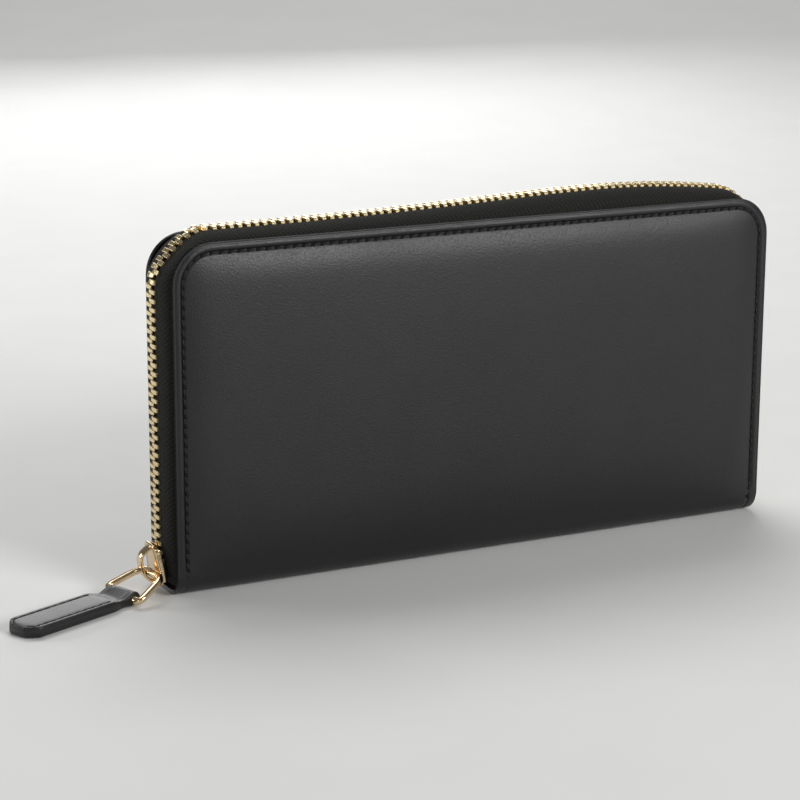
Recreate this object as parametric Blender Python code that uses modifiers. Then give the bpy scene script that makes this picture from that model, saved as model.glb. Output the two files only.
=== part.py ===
"""A zip-around wallet: two padded leather covers on a folded spine, closed by a metal zip on three sides.

The wallet stands on its spine. X runs along the spine, Y from the front cover to the rear one and Z up.
The origin is the middle of the spine's flat underside. All sizes are in metres.
"""

import math

import bmesh
import bpy
from mathutils import Matrix, Vector

# Overall sizes
LENGTH = 0.190  # along the spine
HEIGHT = 0.098  # from the spine's underside to the covers' top edge
THICKNESS = 0.020  # over both covers, at their flat rims
TOP_RADIUS = 0.0115  # the covers' upper corners
GAP = 0.0003  # between pieces that touch on the real wallet

# Leather covers
LEATHER = 0.0012
FOLD_RADIUS = 0.0030  # outside radius of each long fold of the spine
LOWER_RADIUS = 0.0010  # the covers' lower corners
RIM = 0.0045  # flat, stitched rim round each cover
CROWN = 0.0018  # how far the padded middle stands proud
CROWN_SLOPE = 0.012  # width of the slope between rim and padded middle
PAD_EDGE = 0.0002  # thickness of the padding at its thin edge

# Flat layers inside each cover
BOARD = 0.0006
BOARD_INSET = 0.009
LINING = 0.0006
LINING_INSET = 0.0022
BOTTOM_CLEARANCE = 0.0012  # between the spine's lining and what stands over it

# Card pockets, on the front half
CARD_LEATHER = 0.0005
CARD_STRIPS = 4
CARD_STEP = 0.012  # how much of each strip shows above the next
CARD_DROP = 0.011  # from the covers' top edge down to the card panel's
CARD_INSET = 0.0055  # from the covers' side edges
NOTE_SPACE = 0.0012  # note compartment between lining and card panel

# Coin pocket, between the halves
COIN_INSET = 0.012  # from the covers' side edges
COIN_BASE = 0.014
COIN_DROP = 0.015
COIN_WIDTH = 0.0036
COIN_WALL = 0.0005
COIN_REAR_SPACE = 0.0013  # note compartment between coin pocket and rear lining
GUSSET = 0.0006
GUSSET_DEPTH = 0.020
GUSSET_DROP = 0.018

# Metal zip round three sides
TAPE = 0.0006
TAPE_SEAM = 0.0065  # sewn in between cover and lining
CHAIN_OUT = 0.0016  # chain's middle, outside the covers' edge
CHAIN_WIDTH = 0.0058
CHAIN_DEPTH = 0.0024
CHAIN_BOW = 0.0027  # how far the chain arches up along the top
BOW_PEAK = 0.75  # where the arch is highest, as a share of the top
CORNER_DIP = 0.0020  # how far the chain sinks in at each upper corner
END_BEND = 0.018  # below this height the zip's ends curve inwards
END_BEND_RADIUS = 0.058
ZIP_END = 0.0030  # lowest point of the tape
STOP_LENGTH = 0.0030

# Zip slider
SLIDER_HEIGHT = 0.0085  # its middle, above the ground, when the zip is shut
SLIDER_LENGTH = 0.0120
SLIDER_SIDE = 0.0010  # from the chain to the slider's outside, at its narrow end
SLIDER_FLARE = 0.0010  # how much further each side reaches at the wide end
SLIDER_PLATE = 0.0008
SLIDER_LIP = 0.0009
SLIDER_POST = 0.0016
CHAIN_ROOM = 0.0008  # between the elements and each plate
TAPE_ROOM = 0.0006  # between the tape and each side of its slot
BRIDGE_WIDTH = 0.0034
BRIDGE_HEIGHT = 0.0040
BRIDGE_STRAP = 0.0010

# Pull: metal loop and leather tab
LOOP_YAW = math.radians(11)  # how far the loop points to the front
TAB_YAW = math.radians(12)  # how much further the leather tab does
LOOP_WIRE = 0.0018
LOOP_LENGTH = 0.0104
LOOP_NARROW = 0.0108
LOOP_WIDE = 0.0170
LOOP_CORNER = 0.0022
LOOP_SHIFT = 0.0024  # how far the loop has slid sideways in the bridge
TAB_LENGTH = 0.0390
TAB_WIDTH = 0.0118
TAB_THICKNESS = 0.0030
TAB_NOSE = 0.0018  # radius of the leather round the loop's crossbar
TAB_CHAMFER = 0.0030
TAB_LIFT = 0.0002  # between the tab and the ground

# Coin pocket's own small zip
COIN_CHAIN_HEIGHT = 0.0011
COIN_CHAIN_INSET = 0.004
COIN_TAPE = 0.0003
COIN_TAPE_DROP = 0.005
COIN_SLIDER_LENGTH = 0.0075
COIN_SLIDER_WIDTH = 0.0044
COIN_SLIDER_WALL = 0.0005
COIN_PULL_LENGTH = 0.0105
COIN_PULL_WIDTH = 0.0036
COIN_PULL_THICKNESS = 0.0008
COIN_PULL_BAR = 0.0009
COIN_BRIDGE = 0.0022
COIN_STOP = 0.0020

# Places that follow from the sizes above
FRONT = -1
REAR = 1
HALF_LENGTH = LENGTH / 2
COVER_BASE = FOLD_RADIUS + GAP
INNER_FACE = THICKNESS / 2 - LEATHER  # of a cover's rim, from the middle plane
LAYER = INNER_FACE - GAP - BOARD / 2  # middle of the boards and of the tape's sewn edge
LINING_OUTER = LAYER - max(BOARD, TAPE) / 2 - GAP
LINING_INNER = LINING_OUTER - LINING
LINING_BASE = LEATHER + GAP + LINING + BOTTOM_CLEARANCE
CARD_BACK = LINING_INNER - NOTE_SPACE
CARD_PITCH = CARD_LEATHER + GAP
CARD_FACE = CARD_BACK - CARD_LEATHER - CARD_STRIPS * CARD_PITCH
COIN_REAR = LINING_INNER - COIN_REAR_SPACE
COIN_FRONT = COIN_REAR - COIN_WIDTH
COIN_MIDDLE = (COIN_REAR + COIN_FRONT) / 2
COIN_LENGTH = LENGTH - 2 * COIN_INSET
COIN_TOP = HEIGHT - COIN_DROP
CARD_TOP = HEIGHT - CARD_DROP
GUSSET_TOP = HEIGHT - GUSSET_DROP
SLIDER_NARROW = CHAIN_WIDTH + 2 * SLIDER_SIDE
SLIDER_WIDE = SLIDER_NARROW + 2 * SLIDER_FLARE
SLIDER_DEPTH = CHAIN_DEPTH + 2 * (CHAIN_ROOM + SLIDER_PLATE)
TAPE_SLOT = TAPE + 2 * TAPE_ROOM
HINGE_Y = -(THICKNESS / 2 - LEATHER / 12)
HINGE_Z = FOLD_RADIUS + GAP / 2

ARC_STEPS = 8


def clear_scene():
    for item in list(bpy.data.objects):
        bpy.data.objects.remove(item, do_unlink=True)


def new_collection(name):
    group = bpy.data.collections.new(name)
    bpy.context.scene.collection.children.link(group)
    return group


def new_material(name, colour, roughness, metallic=0.0):
    material = bpy.data.materials.new(name)
    material.use_nodes = True
    shader = material.node_tree.nodes["Principled BSDF"]
    shader.inputs["Base Color"].default_value = (*colour, 1.0)
    shader.inputs["Roughness"].default_value = roughness
    shader.inputs["Metallic"].default_value = metallic
    material.diffuse_color = (*colour, 1.0)
    return material


clear_scene()
WALLET = new_collection("zip_around_wallet")
CUTTERS = new_collection("cutters")
BLACK_LEATHER = new_material("black_leather", (0.012, 0.012, 0.013), 0.42)
PULL_LEATHER = new_material("pull_leather", (0.020, 0.020, 0.021), 0.38)
CARD_POCKET_LEATHER = new_material("card_pocket_leather", (0.018, 0.018, 0.019), 0.50)
LINING_FABRIC = new_material("lining_fabric", (0.030, 0.030, 0.033), 0.80)
GUSSET_FABRIC = new_material("gusset_fabric", (0.024, 0.024, 0.026), 0.75)
ZIP_TAPE = new_material("zip_tape", (0.010, 0.010, 0.011), 0.85)
GOLD_METAL = new_material("gold_metal", (0.83, 0.60, 0.33), 0.22, 1.0)
STIFF_BOARD = new_material("stiff_board", (0.30, 0.25, 0.19), 0.90)
SOFT_FOAM = new_material("soft_foam", (0.55, 0.55, 0.52), 0.95)


def placed(item, material, group=None, parent=None):
    """Puts an object in its collection and gives it its material. A parent's place is kept as it is."""
    (group or WALLET).objects.link(item)
    if material:
        item.data.materials.append(material)
    if group is CUTTERS:
        item.hide_render = True
        item.display_type = "WIRE"
    if parent:
        item.parent = parent
    return item


def joint_empty(name, place, turn=(0.0, 0.0, 0.0), parent=None):
    """An empty on a joint's axis, which carries the pieces that move with it."""
    empty = bpy.data.objects.new(name, None)
    empty.empty_display_size = 0.005
    empty.location = place
    empty.rotation_euler = turn
    return placed(empty, None, parent=parent)


def mesh_object(name, bm):
    mesh = bpy.data.meshes.new(name)
    bm.to_mesh(mesh)
    bm.free()
    return bpy.data.objects.new(name, mesh)


def arc(centre, radius, start, end, steps=ARC_STEPS):
    """Points along a circular arc, with angles in degrees."""
    points = []
    for step in range(steps + 1):
        angle = math.radians(start + (end - start) * step / steps)
        points.append((centre[0] + radius * math.cos(angle), centre[1] + radius * math.sin(angle)))
    return points


def rounded_rectangle(low, high, lower_radius, upper_radius, steps=ARC_STEPS):
    """An outline with its lower and upper corners rounded, anticlockwise from the lower right."""
    (x0, y0), (x1, y1) = low, high
    return (
        arc((x1 - lower_radius, y0 + lower_radius), lower_radius, -90, 0, steps)
        + arc((x1 - upper_radius, y1 - upper_radius), upper_radius, 0, 90, steps)
        + arc((x0 + upper_radius, y1 - upper_radius), upper_radius, 90, 180, steps)
        + arc((x0 + lower_radius, y0 + lower_radius), lower_radius, 180, 270, steps)
    )


def rectangle(low, high):
    return [(low[0], low[1]), (high[0], low[1]), (high[0], high[1]), (low[0], high[1])]


def band(line, thickness):
    """The outline of a strip that follows a line of points, half its thickness to each side."""
    left = []
    right = []
    for index, point in enumerate(line):
        before = Vector(line[max(index - 1, 0)])
        after = Vector(line[min(index + 1, len(line) - 1)])
        along = (after - before).normalized()
        across = Vector((-along.y, along.x)) * thickness / 2
        left.append(tuple(Vector(point) + across))
        right.append(tuple(Vector(point) - across))
    return left + right[::-1]


def plate(name, outline, thickness, material, parent=None, group=None):
    """A flat outline given its thickness: a filled 2D curve, half its thickness to each side."""
    curve = bpy.data.curves.new(name, "CURVE")
    curve.dimensions = "2D"
    curve.fill_mode = "BOTH"
    curve.extrude = thickness / 2
    spline = curve.splines.new("POLY")
    spline.points.add(len(outline) - 1)
    for point, (x, y) in zip(spline.points, outline):
        point.co = (x, y, 0.0, 1.0)
    spline.use_cyclic_u = True
    return placed(bpy.data.objects.new(name, curve), material, group, parent)


def standing_plate(name, outline, near, far, material, group=None):
    """A plate whose outline stands in X and Z, and whose thickness runs from one Y to another."""
    item = plate(name, outline, abs(far - near), material, group=group)
    item.rotation_euler = (math.radians(90), 0.0, 0.0)
    item.location = (0.0, (near + far) / 2, 0.0)
    return item


def long_plate(name, outline, x0, x1, material, group=None):
    """A plate whose outline stands in Y and Z, and whose length runs along X."""
    item = plate(name, outline, x1 - x0, material, group=group)
    item.rotation_euler = (math.radians(90), 0.0, math.radians(90))
    item.location = ((x0 + x1) / 2, 0.0, 0.0)
    return item


def as_mesh(item):
    """The mesh that a curve object makes, as an object of its own in the same place."""
    bpy.context.view_layer.update()
    graph = bpy.context.evaluated_depsgraph_get()
    mesh = bpy.data.meshes.new_from_object(item.evaluated_get(graph))
    bm = bmesh.new()
    bm.from_mesh(mesh)
    bmesh.ops.remove_doubles(bm, verts=bm.verts, dist=1e-6)
    bmesh.ops.recalc_face_normals(bm, faces=bm.faces)
    bm.to_mesh(mesh)
    bm.free()
    name = item.name
    group = item.users_collection[0]
    matrix = item.matrix_world.copy()
    bpy.data.objects.remove(item, do_unlink=True)
    solid = bpy.data.objects.new(name, mesh)
    group.objects.link(solid)
    solid.matrix_world = matrix
    if group is CUTTERS:
        solid.hide_render = True
        solid.display_type = "WIRE"
    return solid


def boolean(item, tool, operation):
    modifier = item.modifiers.new(operation.lower(), "BOOLEAN")
    modifier.operation = operation
    modifier.solver = "EXACT"
    modifier.object = tool


def box(name, low, high, material=None, group=None, parent=None):
    """A box between two corners, with its origin at its middle."""
    bm = bmesh.new()
    bmesh.ops.create_cube(bm, size=1.0)
    sides = Vector(high) - Vector(low)
    bmesh.ops.scale(bm, vec=sides, verts=bm.verts)
    item = mesh_object(name, bm)
    item.location = (Vector(low) + Vector(high)) / 2
    return placed(item, material, group, parent)


def cylinder_across(name, radius, length, place, group=None, parent=None):
    """A cylinder whose axis runs along Y."""
    bm = bmesh.new()
    bmesh.ops.create_cone(
        bm, cap_ends=True, segments=16, radius1=radius, radius2=radius, depth=length,
        matrix=Matrix.Rotation(math.radians(90), 4, "X"),
    )
    item = mesh_object(name, bm)
    item.location = place
    return placed(item, None, group, parent)


def loft(name, rings, material, closed=True):
    """A skin through rings of equally many points, with a cap at each end, or only at the last."""
    bm = bmesh.new()
    rows = [[bm.verts.new(point) for point in ring] for ring in rings]
    count = len(rows[0])
    for row, following in zip(rows, rows[1:]):
        for index in range(count):
            after = (index + 1) % count
            bm.faces.new((row[index], row[after], following[after], following[index]))
    bm.faces.new(rows[-1])
    if closed:
        bm.faces.new(rows[0])
        bmesh.ops.recalc_face_normals(bm, faces=bm.faces)
    return placed(mesh_object(name, bm), material)


# ---- Leather covers and spine ----


def cover_outline(inset=0.0, base=COVER_BASE, steps=ARC_STEPS):
    """A cover's outline in X and Z, or one drawn further in by an inset."""
    low = (-HALF_LENGTH + inset, base)
    high = (HALF_LENGTH - inset, HEIGHT - inset)
    return rounded_rectangle(low, high, LOWER_RADIUS, max(TOP_RADIUS - inset, LOWER_RADIUS), steps)


def crown_rings(levels, side, steps):
    """Nested cover outlines, each an (inset, rise) away from the middle plane, wound to face outwards."""
    rings = []
    for inset, rise in levels:
        outline = cover_outline(inset, COVER_BASE + inset, steps)[:: -side]
        rings.append([(x, side * rise, z) for x, z in outline])
    return rings


def cover(name, side):
    """One leather cover: a flat stitched rim round a padded, crowned middle."""
    half_slope = CROWN_SLOPE / 2
    levels = ((0.0, 0.0), (RIM, 0.0), (RIM + half_slope, CROWN * 0.7), (RIM + CROWN_SLOPE, CROWN))
    item = loft(name, crown_rings(levels, side, 6), BLACK_LEATHER, closed=False)
    item.location.y = side * THICKNESS / 2
    modifier = item.modifiers.new("leather", "SOLIDIFY")
    modifier.thickness = LEATHER
    modifier.offset = -1.0
    modifier.use_even_offset = True


def padding(name, side):
    """Foam that fills the hollow behind a cover's crown, thin at its edge."""
    inset = RIM + CROWN_SLOPE / 3
    levels = ((inset, 0.0), (inset, PAD_EDGE), (RIM + CROWN_SLOPE, CROWN - GAP))
    item = loft(name, crown_rings(levels, side, 4), SOFT_FOAM)
    item.location.y = side * INNER_FACE


def spine():
    """The folded leather between the covers: a shallow trough with a flat underside."""
    reach = THICKNESS / 2 - FOLD_RADIUS
    outer = [(-THICKNESS / 2, FOLD_RADIUS)] + arc((-reach, FOLD_RADIUS), FOLD_RADIUS, 180, 270, 6)[1:]
    outer += arc((reach, FOLD_RADIUS), FOLD_RADIUS, 270, 360, 6)
    inside = FOLD_RADIUS - LEATHER
    inner = arc((reach, FOLD_RADIUS), inside, 360, 270, 6) + arc((-reach, FOLD_RADIUS), inside, 270, 180, 6)
    long_plate("spine_leather", outer + inner, -HALF_LENGTH + GAP, HALF_LENGTH - GAP, BLACK_LEATHER)


def flat_layers(half, side):
    """The stiffening board and the lining of one half."""
    board = cover_outline(BOARD_INSET, COVER_BASE + BOARD_INSET / 2, 4)
    standing_plate(f"{half}_board", board, side * (LAYER - BOARD / 2), side * (LAYER + BOARD / 2), STIFF_BOARD)
    lining = cover_outline(LINING_INSET, LINING_BASE, 6)
    standing_plate(f"{half}_lining", lining, side * LINING_INNER, side * LINING_OUTER, LINING_FABRIC)


def spine_lining():
    reach = LINING_INNER - GAP
    floor = LEATHER + GAP
    edge = HALF_LENGTH - TAPE_SEAM
    long_plate("spine_lining", rectangle((-reach, floor), (reach, floor + LINING)), -edge, edge, LINING_FABRIC)


cover("front_cover", FRONT)
cover("rear_cover", REAR)
padding("front_padding", FRONT)
padding("rear_padding", REAR)
spine()
flat_layers("front", FRONT)
flat_layers("rear", REAR)
spine_lining()

# ---- Card pockets ----


def card_pockets():
    """A backing panel and stepped strips in front of it. Cards go in behind each strip's top edge."""
    low_x = -HALF_LENGTH + CARD_INSET
    near = -CARD_BACK
    for level in range(CARD_STRIPS + 1):
        top = CARD_TOP - level * CARD_STEP
        name = "card_panel" if level == 0 else f"card_strip_{level}"
        outline = rounded_rectangle((low_x, LINING_BASE), (-low_x, top), LOWER_RADIUS, LOWER_RADIUS * 2, 3)
        material = CARD_POCKET_LEATHER if level else LINING_FABRIC
        standing_plate(name, outline, near, near + CARD_LEATHER, material)
        near += CARD_PITCH


card_pockets()

# ---- Coin pocket with its own zip ----


def coin_bag():
    """A flat bag, open at the top."""
    half = COIN_LENGTH / 2
    bag = box("coin_bag", (-half, COIN_FRONT, COIN_BASE), (half, COIN_REAR, COIN_TOP), GUSSET_FABRIC)
    inside = box(
        "coin_bag_inside",
        (-half + COIN_WALL, COIN_FRONT + COIN_WALL, COIN_BASE + COIN_WALL),
        (half - COIN_WALL, COIN_REAR - COIN_WALL, COIN_TOP + COIN_WALL),
        group=CUTTERS,
    )
    boolean(bag, inside, "DIFFERENCE")


def coin_zip_half(half, side):
    """One side of the coin zip: a tape that hangs inside the bag and turns in under its row of elements."""
    def y_at(from_middle):
        return COIN_MIDDLE + side * from_middle

    outside = COIN_WIDTH / 2 - COIN_WALL - GAP
    inside = GAP / 2
    top = COIN_TOP + COIN_TAPE + GAP
    outline = [
        (y_at(outside), COIN_TOP - COIN_TAPE_DROP),
        (y_at(outside), top),
        (y_at(inside), top),
        (y_at(inside), top - COIN_TAPE),
        (y_at(outside - COIN_TAPE), top - COIN_TAPE),
        (y_at(outside - COIN_TAPE), COIN_TOP - COIN_TAPE_DROP),
    ]
    tape_end = COIN_LENGTH / 2 - COIN_WALL - GAP
    long_plate(f"coin_tape_{half}", outline, -tape_end, tape_end, ZIP_TAPE)
    base = top + GAP
    edges = sorted((y_at(inside), y_at(outside)))
    row_end = COIN_LENGTH / 2 - COIN_CHAIN_INSET
    low = (-row_end, edges[0], base)
    high = (row_end, edges[1], base + COIN_CHAIN_HEIGHT)
    box(f"coin_teeth_{half}", low, high, GOLD_METAL)


def coin_stop(name, x):
    """A small stop at one end of the coin zip."""
    reach = COIN_WIDTH / 2 - COIN_WALL - GAP
    base = COIN_TOP + COIN_TAPE + 2 * GAP
    low = (x - COIN_STOP / 2, COIN_MIDDLE - reach, base)
    high = (x + COIN_STOP / 2, COIN_MIDDLE + reach, base + COIN_CHAIN_HEIGHT)
    box(name, low, high, GOLD_METAL)


def coin_slider():
    """A small slider that saddles the coin zip, with a bridge on top, at the zip's closed end."""
    chain_top = COIN_TOP + COIN_TAPE + 2 * GAP + COIN_CHAIN_HEIGHT
    chain_base = chain_top - COIN_CHAIN_HEIGHT
    x = COIN_LENGTH / 2 - COIN_CHAIN_INSET - COIN_SLIDER_LENGTH / 2
    carrier = joint_empty("coin_slide_axis", (x, COIN_MIDDLE, chain_top))
    half = COIN_SLIDER_WIDTH / 2
    inner = COIN_WIDTH / 2 - COIN_WALL
    roof = chain_top + GAP
    outline = [
        (COIN_MIDDLE - half, chain_base),
        (COIN_MIDDLE - half, roof + COIN_SLIDER_WALL),
        (COIN_MIDDLE + half, roof + COIN_SLIDER_WALL),
        (COIN_MIDDLE + half, chain_base),
        (COIN_MIDDLE + inner, chain_base),
        (COIN_MIDDLE + inner, roof),
        (COIN_MIDDLE - inner, roof),
        (COIN_MIDDLE - inner, chain_base),
    ]
    start = x - COIN_SLIDER_LENGTH / 2
    body = as_mesh(long_plate("coin_slider", outline, start, start + COIN_SLIDER_LENGTH, GOLD_METAL))
    body.parent = carrier
    body.matrix_parent_inverse = Matrix.Translation(-carrier.location)
    foot = roof + COIN_SLIDER_WALL
    arch = [(x - COIN_BRIDGE, foot - COIN_SLIDER_WALL / 2)]
    arch += arc((x, foot), COIN_BRIDGE, 180, 0, 6)
    arch += [(x + COIN_BRIDGE, foot - COIN_SLIDER_WALL / 2)]
    strap = standing_plate(
        "coin_slider_bridge", band(arch, COIN_SLIDER_WALL), COIN_MIDDLE - COIN_BRIDGE / 4,
        COIN_MIDDLE + COIN_BRIDGE / 4, None, CUTTERS,
    )
    boolean(body, as_mesh(strap), "UNION")
    return x, foot


def coin_pull(x, foot):
    """A flat tongue. Its end bar hangs in the bridge, on the joint's axis."""
    height = foot + COIN_BRIDGE / 2
    axis = joint_empty("coin_pull_axis", (x, COIN_MIDDLE, height))
    half = COIN_PULL_WIDTH / 2
    outline = rounded_rectangle((-COIN_PULL_LENGTH, -half), (COIN_PULL_BAR / 2, half), half / 3, half / 3, 3)
    tongue = as_mesh(plate("coin_pull", outline, COIN_PULL_THICKNESS, GOLD_METAL))
    window = box(
        "coin_pull_window",
        (-COIN_PULL_BAR / 2 - COIN_BRIDGE, -COIN_BRIDGE / 4 - GAP, -COIN_PULL_THICKNESS),
        (-COIN_PULL_BAR / 2, COIN_BRIDGE / 4 + GAP, COIN_PULL_THICKNESS),
        group=CUTTERS,
    )
    tongue.parent = axis
    window.parent = axis
    boolean(tongue, window, "DIFFERENCE")


def gussets():
    """Folded cloth at each end: a V between card panel and coin pocket, and a flat fold behind."""
    for end, name in ((-1, "left"), (1, "right")):
        front_end = Vector((end * COIN_LENGTH / 2, -CARD_FACE + GAP + GUSSET / 2))
        rear_end = Vector((end * COIN_LENGTH / 2, COIN_FRONT - GAP - GUSSET / 2))
        middle = (front_end + rear_end) / 2 - Vector((end * GUSSET_DEPTH, 0.0))
        outline = band([tuple(front_end), tuple(middle), tuple(rear_end)], GUSSET)
        fold = plate(f"front_gusset_{name}", outline, GUSSET_TOP - COIN_BASE, GUSSET_FABRIC)
        fold.location.z = (GUSSET_TOP + COIN_BASE) / 2
        near = COIN_REAR + (COIN_REAR_SPACE - GUSSET) / 2
        edges = sorted((end * COIN_LENGTH / 2, end * (COIN_LENGTH / 2 - GUSSET_DEPTH)))
        low = (edges[0], near, COIN_BASE)
        high = (edges[1], near + GUSSET, GUSSET_TOP)
        box(f"rear_gusset_{name}", low, high, GUSSET_FABRIC)


coin_bag()
for half_name, half_side in (("front", FRONT), ("rear", REAR)):
    coin_zip_half(half_name, half_side)
coin_stop_place = COIN_LENGTH / 2 - COIN_CHAIN_INSET + GAP + COIN_STOP / 2
coin_stop("coin_stop_left", -coin_stop_place)
coin_stop("coin_stop_right", coin_stop_place)
coin_pull(*coin_slider())
gussets()

# ---- Metal zip round three sides ----


def zip_stations():
    """Places along the covers' edge, from lower left to lower right: x, z, outward normal and chain shift.

    The shift moves the chain outwards where it arches along the top, and inwards at its corners and two ends.
    """
    straight = HALF_LENGTH - TOP_RADIUS
    corner = HEIGHT - TOP_RADIUS
    side_heights = [ZIP_END + (END_BEND - ZIP_END) * step / 5 for step in range(6)]
    left = [(-HALF_LENGTH, z, -1.0, 0.0, -((END_BEND - z) ** 2) / (2 * END_BEND_RADIUS)) for z in side_heights]
    for step in range(ARC_STEPS + 1):
        angle = math.pi - math.pi / 2 * step / ARC_STEPS
        nx, nz = math.cos(angle), math.sin(angle)
        sunk = -CORNER_DIP * math.sin(math.pi * step / ARC_STEPS)
        left.append((-straight + TOP_RADIUS * nx, corner + TOP_RADIUS * nz, nx, nz, sunk))
    steps = 16
    power = math.log(0.5) / math.log(BOW_PEAK)
    top = []
    for step in range(1, steps):
        share = step / steps
        top.append((-straight + 2 * straight * share, HEIGHT, 0.0, 1.0, CHAIN_BOW * math.sin(math.pi * share**power)))
    right = [(-x, z, -nx, nz, shift) for x, z, nx, nz, shift in reversed(left)]
    return left + top + right


def zip_sweep(name, section, material, stations):
    """Sweeps a section of (out, y, share) points along the zip. The share says how much a point shifts."""
    rings = []
    for x, z, nx, nz, shift in stations:
        ring = []
        for out, y, share in section:
            reach = out + share * shift
            ring.append((x + nx * reach, y, z + nz * reach))
        rings.append(ring)
    return loft(name, rings, material)


def tape_section(side):
    """Sewn flat against the cover, the tape turns at the edge and crosses to the chain."""
    turn = LAYER - CHAIN_OUT
    line = [(-TAPE_SEAM, LAYER), (-CHAIN_OUT * 1.2, LAYER)]
    line += [(-CHAIN_OUT * 0.2, LAYER - TAPE * 0.6), (CHAIN_OUT * 0.5, turn), (CHAIN_OUT * 0.9, turn * 0.72)]
    line += [(CHAIN_OUT, CHAIN_WIDTH / 2 + GAP)]
    shares = [0.0, 0.0, 0.35, 0.7, 0.92, 1.0]
    outline = band(line, TAPE)
    return [(out, side * y, share) for (out, y), share in zip(outline, shares + shares[::-1])]


def row_section(side):
    """The rectangle that holds one row of metal elements."""
    out = rectangle((CHAIN_OUT - CHAIN_DEPTH / 2, GAP / 2), (CHAIN_OUT + CHAIN_DEPTH / 2, CHAIN_WIDTH / 2))
    return [(x, side * y, 1.0) for x, y in out]


def slider_frame():
    """The place and the lean of the slider, where the zip's end curves in."""
    fall = END_BEND - SLIDER_HEIGHT
    x = -HALF_LENGTH - CHAIN_OUT + fall**2 / (2 * END_BEND_RADIUS)
    lean = math.atan2(fall, END_BEND_RADIUS)
    return Vector((x, 0.0, SLIDER_HEIGHT)), lean


def metal_zip():
    stations = zip_stations()
    chain = [place for place in stations if place[1] > SLIDER_HEIGHT or place[0] > 0]
    chain = [place for place in chain if place[1] > ZIP_END + STOP_LENGTH]
    for half, side in (("front", FRONT), ("rear", REAR)):
        zip_sweep(f"{half}_zip_tape", tape_section(side), ZIP_TAPE, stations)
        zip_sweep(f"{half}_zip_teeth", row_section(side), GOLD_METAL, chain)
    last = chain[-1]
    x = last[0] + CHAIN_OUT + last[4]
    depth = CHAIN_DEPTH / 2
    high = (x + depth, CHAIN_WIDTH / 2, last[1] - GAP)
    box("zip_end_stop", (x - depth, -CHAIN_WIDTH / 2, last[1] - GAP - STOP_LENGTH), high, GOLD_METAL)


def slider():
    """Two plates joined by a post. The elements run between the plates and the tapes leave at the sides."""
    place, lean = slider_frame()
    carrier = joint_empty("zip_slide_axis", place, (0.0, -lean, 0.0))
    narrow, wide, end = SLIDER_NARROW / 2, SLIDER_WIDE / 2, SLIDER_LENGTH / 2
    outline = [(-wide * 0.6, -end), (wide * 0.6, -end), (wide, -end * 0.6), (wide, -end * 0.2)]
    outline += [(narrow, end * 0.6), (narrow * 0.8, end), (-narrow * 0.8, end), (-narrow, end * 0.6)]
    outline += [(-wide, -end * 0.2), (-wide, -end * 0.6)]
    # The outline lies in the slider's width and length, and its depth points away from the wallet.
    turn = (math.radians(90), 0.0, math.radians(90))
    body = plate("slider_body", outline, SLIDER_DEPTH, GOLD_METAL)
    body.rotation_euler = turn
    body = as_mesh(body)
    channel_outline = [(-wide + SLIDER_LIP, -end * 1.2), (wide - SLIDER_LIP, -end * 1.2)]
    channel_outline += [(narrow - SLIDER_LIP + GAP, end * 1.2), (-narrow + SLIDER_LIP - GAP, end * 1.2)]
    channel = plate("slider_channel", channel_outline, SLIDER_DEPTH - 2 * SLIDER_PLATE, None, group=CUTTERS)
    channel.rotation_euler = turn
    channel = as_mesh(channel)
    slot = box(
        "slider_slot", (-TAPE_SLOT / 2, -SLIDER_WIDE, -SLIDER_LENGTH), (TAPE_SLOT / 2, SLIDER_WIDE, SLIDER_LENGTH),
        group=CUTTERS,
    )
    post_outline = [(0.0, 0.0), (-SLIDER_POST / 2, -end * 0.4), (-SLIDER_POST / 2, -end * 0.9)]
    post_outline += [(SLIDER_POST / 2, -end * 0.9), (SLIDER_POST / 2, -end * 0.4)]
    post = plate("slider_post", post_outline, SLIDER_DEPTH - SLIDER_PLATE, None, group=CUTTERS)
    post.rotation_euler = turn
    post = as_mesh(post)
    for item in (body, channel, slot, post):
        item.parent = carrier
    boolean(body, channel, "DIFFERENCE")
    boolean(body, slot, "DIFFERENCE")
    boolean(body, post, "UNION")
    return carrier


def bridge_line():
    """The bridge's arch, outwards from the slider's outer plate, as (x, z) in the slider's own frame."""
    foot = -SLIDER_DEPTH / 2 - GAP - BRIDGE_STRAP / 2
    top = SLIDER_LENGTH * 0.40
    bottom = -SLIDER_LENGTH * 0.42
    crest = foot - BRIDGE_HEIGHT + BRIDGE_STRAP
    return [
        (foot, top),
        (foot * 0.4 + crest * 0.6, top * 0.82),
        (crest, top * 0.45),
        (crest, 0.0),
        (crest * 0.9 + foot * 0.1, bottom * 0.5),
        (foot * 0.45 + crest * 0.55, bottom * 0.85),
        (foot, bottom),
    ]


def bridge(carrier):
    line = bridge_line()
    strap = plate("slider_bridge", band(line, BRIDGE_STRAP), BRIDGE_WIDTH, GOLD_METAL)
    strap.rotation_euler = (math.radians(90), 0.0, 0.0)
    strap.parent = carrier


def loop_corner_points():
    """The loop's centre line, a rounded trapezium, as (along the pull, across it)."""
    narrow, wide = LOOP_NARROW / 2, LOOP_WIDE / 2
    corners = [(0.0, narrow), (0.0, -narrow), (LOOP_LENGTH, -wide), (LOOP_LENGTH, wide)]
    points = []
    for index, corner in enumerate(corners):
        here = Vector(corner)
        before = (Vector(corners[index - 1]) - here).normalized()
        after = (Vector(corners[(index + 1) % 4]) - here).normalized()
        for step in range(5):
            share = step / 4
            start = here + before * LOOP_CORNER
            end = here + after * LOOP_CORNER
            # a quadratic curve from one side to the next, drawn towards the corner
            points.append(start * (1 - share) ** 2 + here * 2 * share * (1 - share) + end * share**2)
    return points


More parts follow.
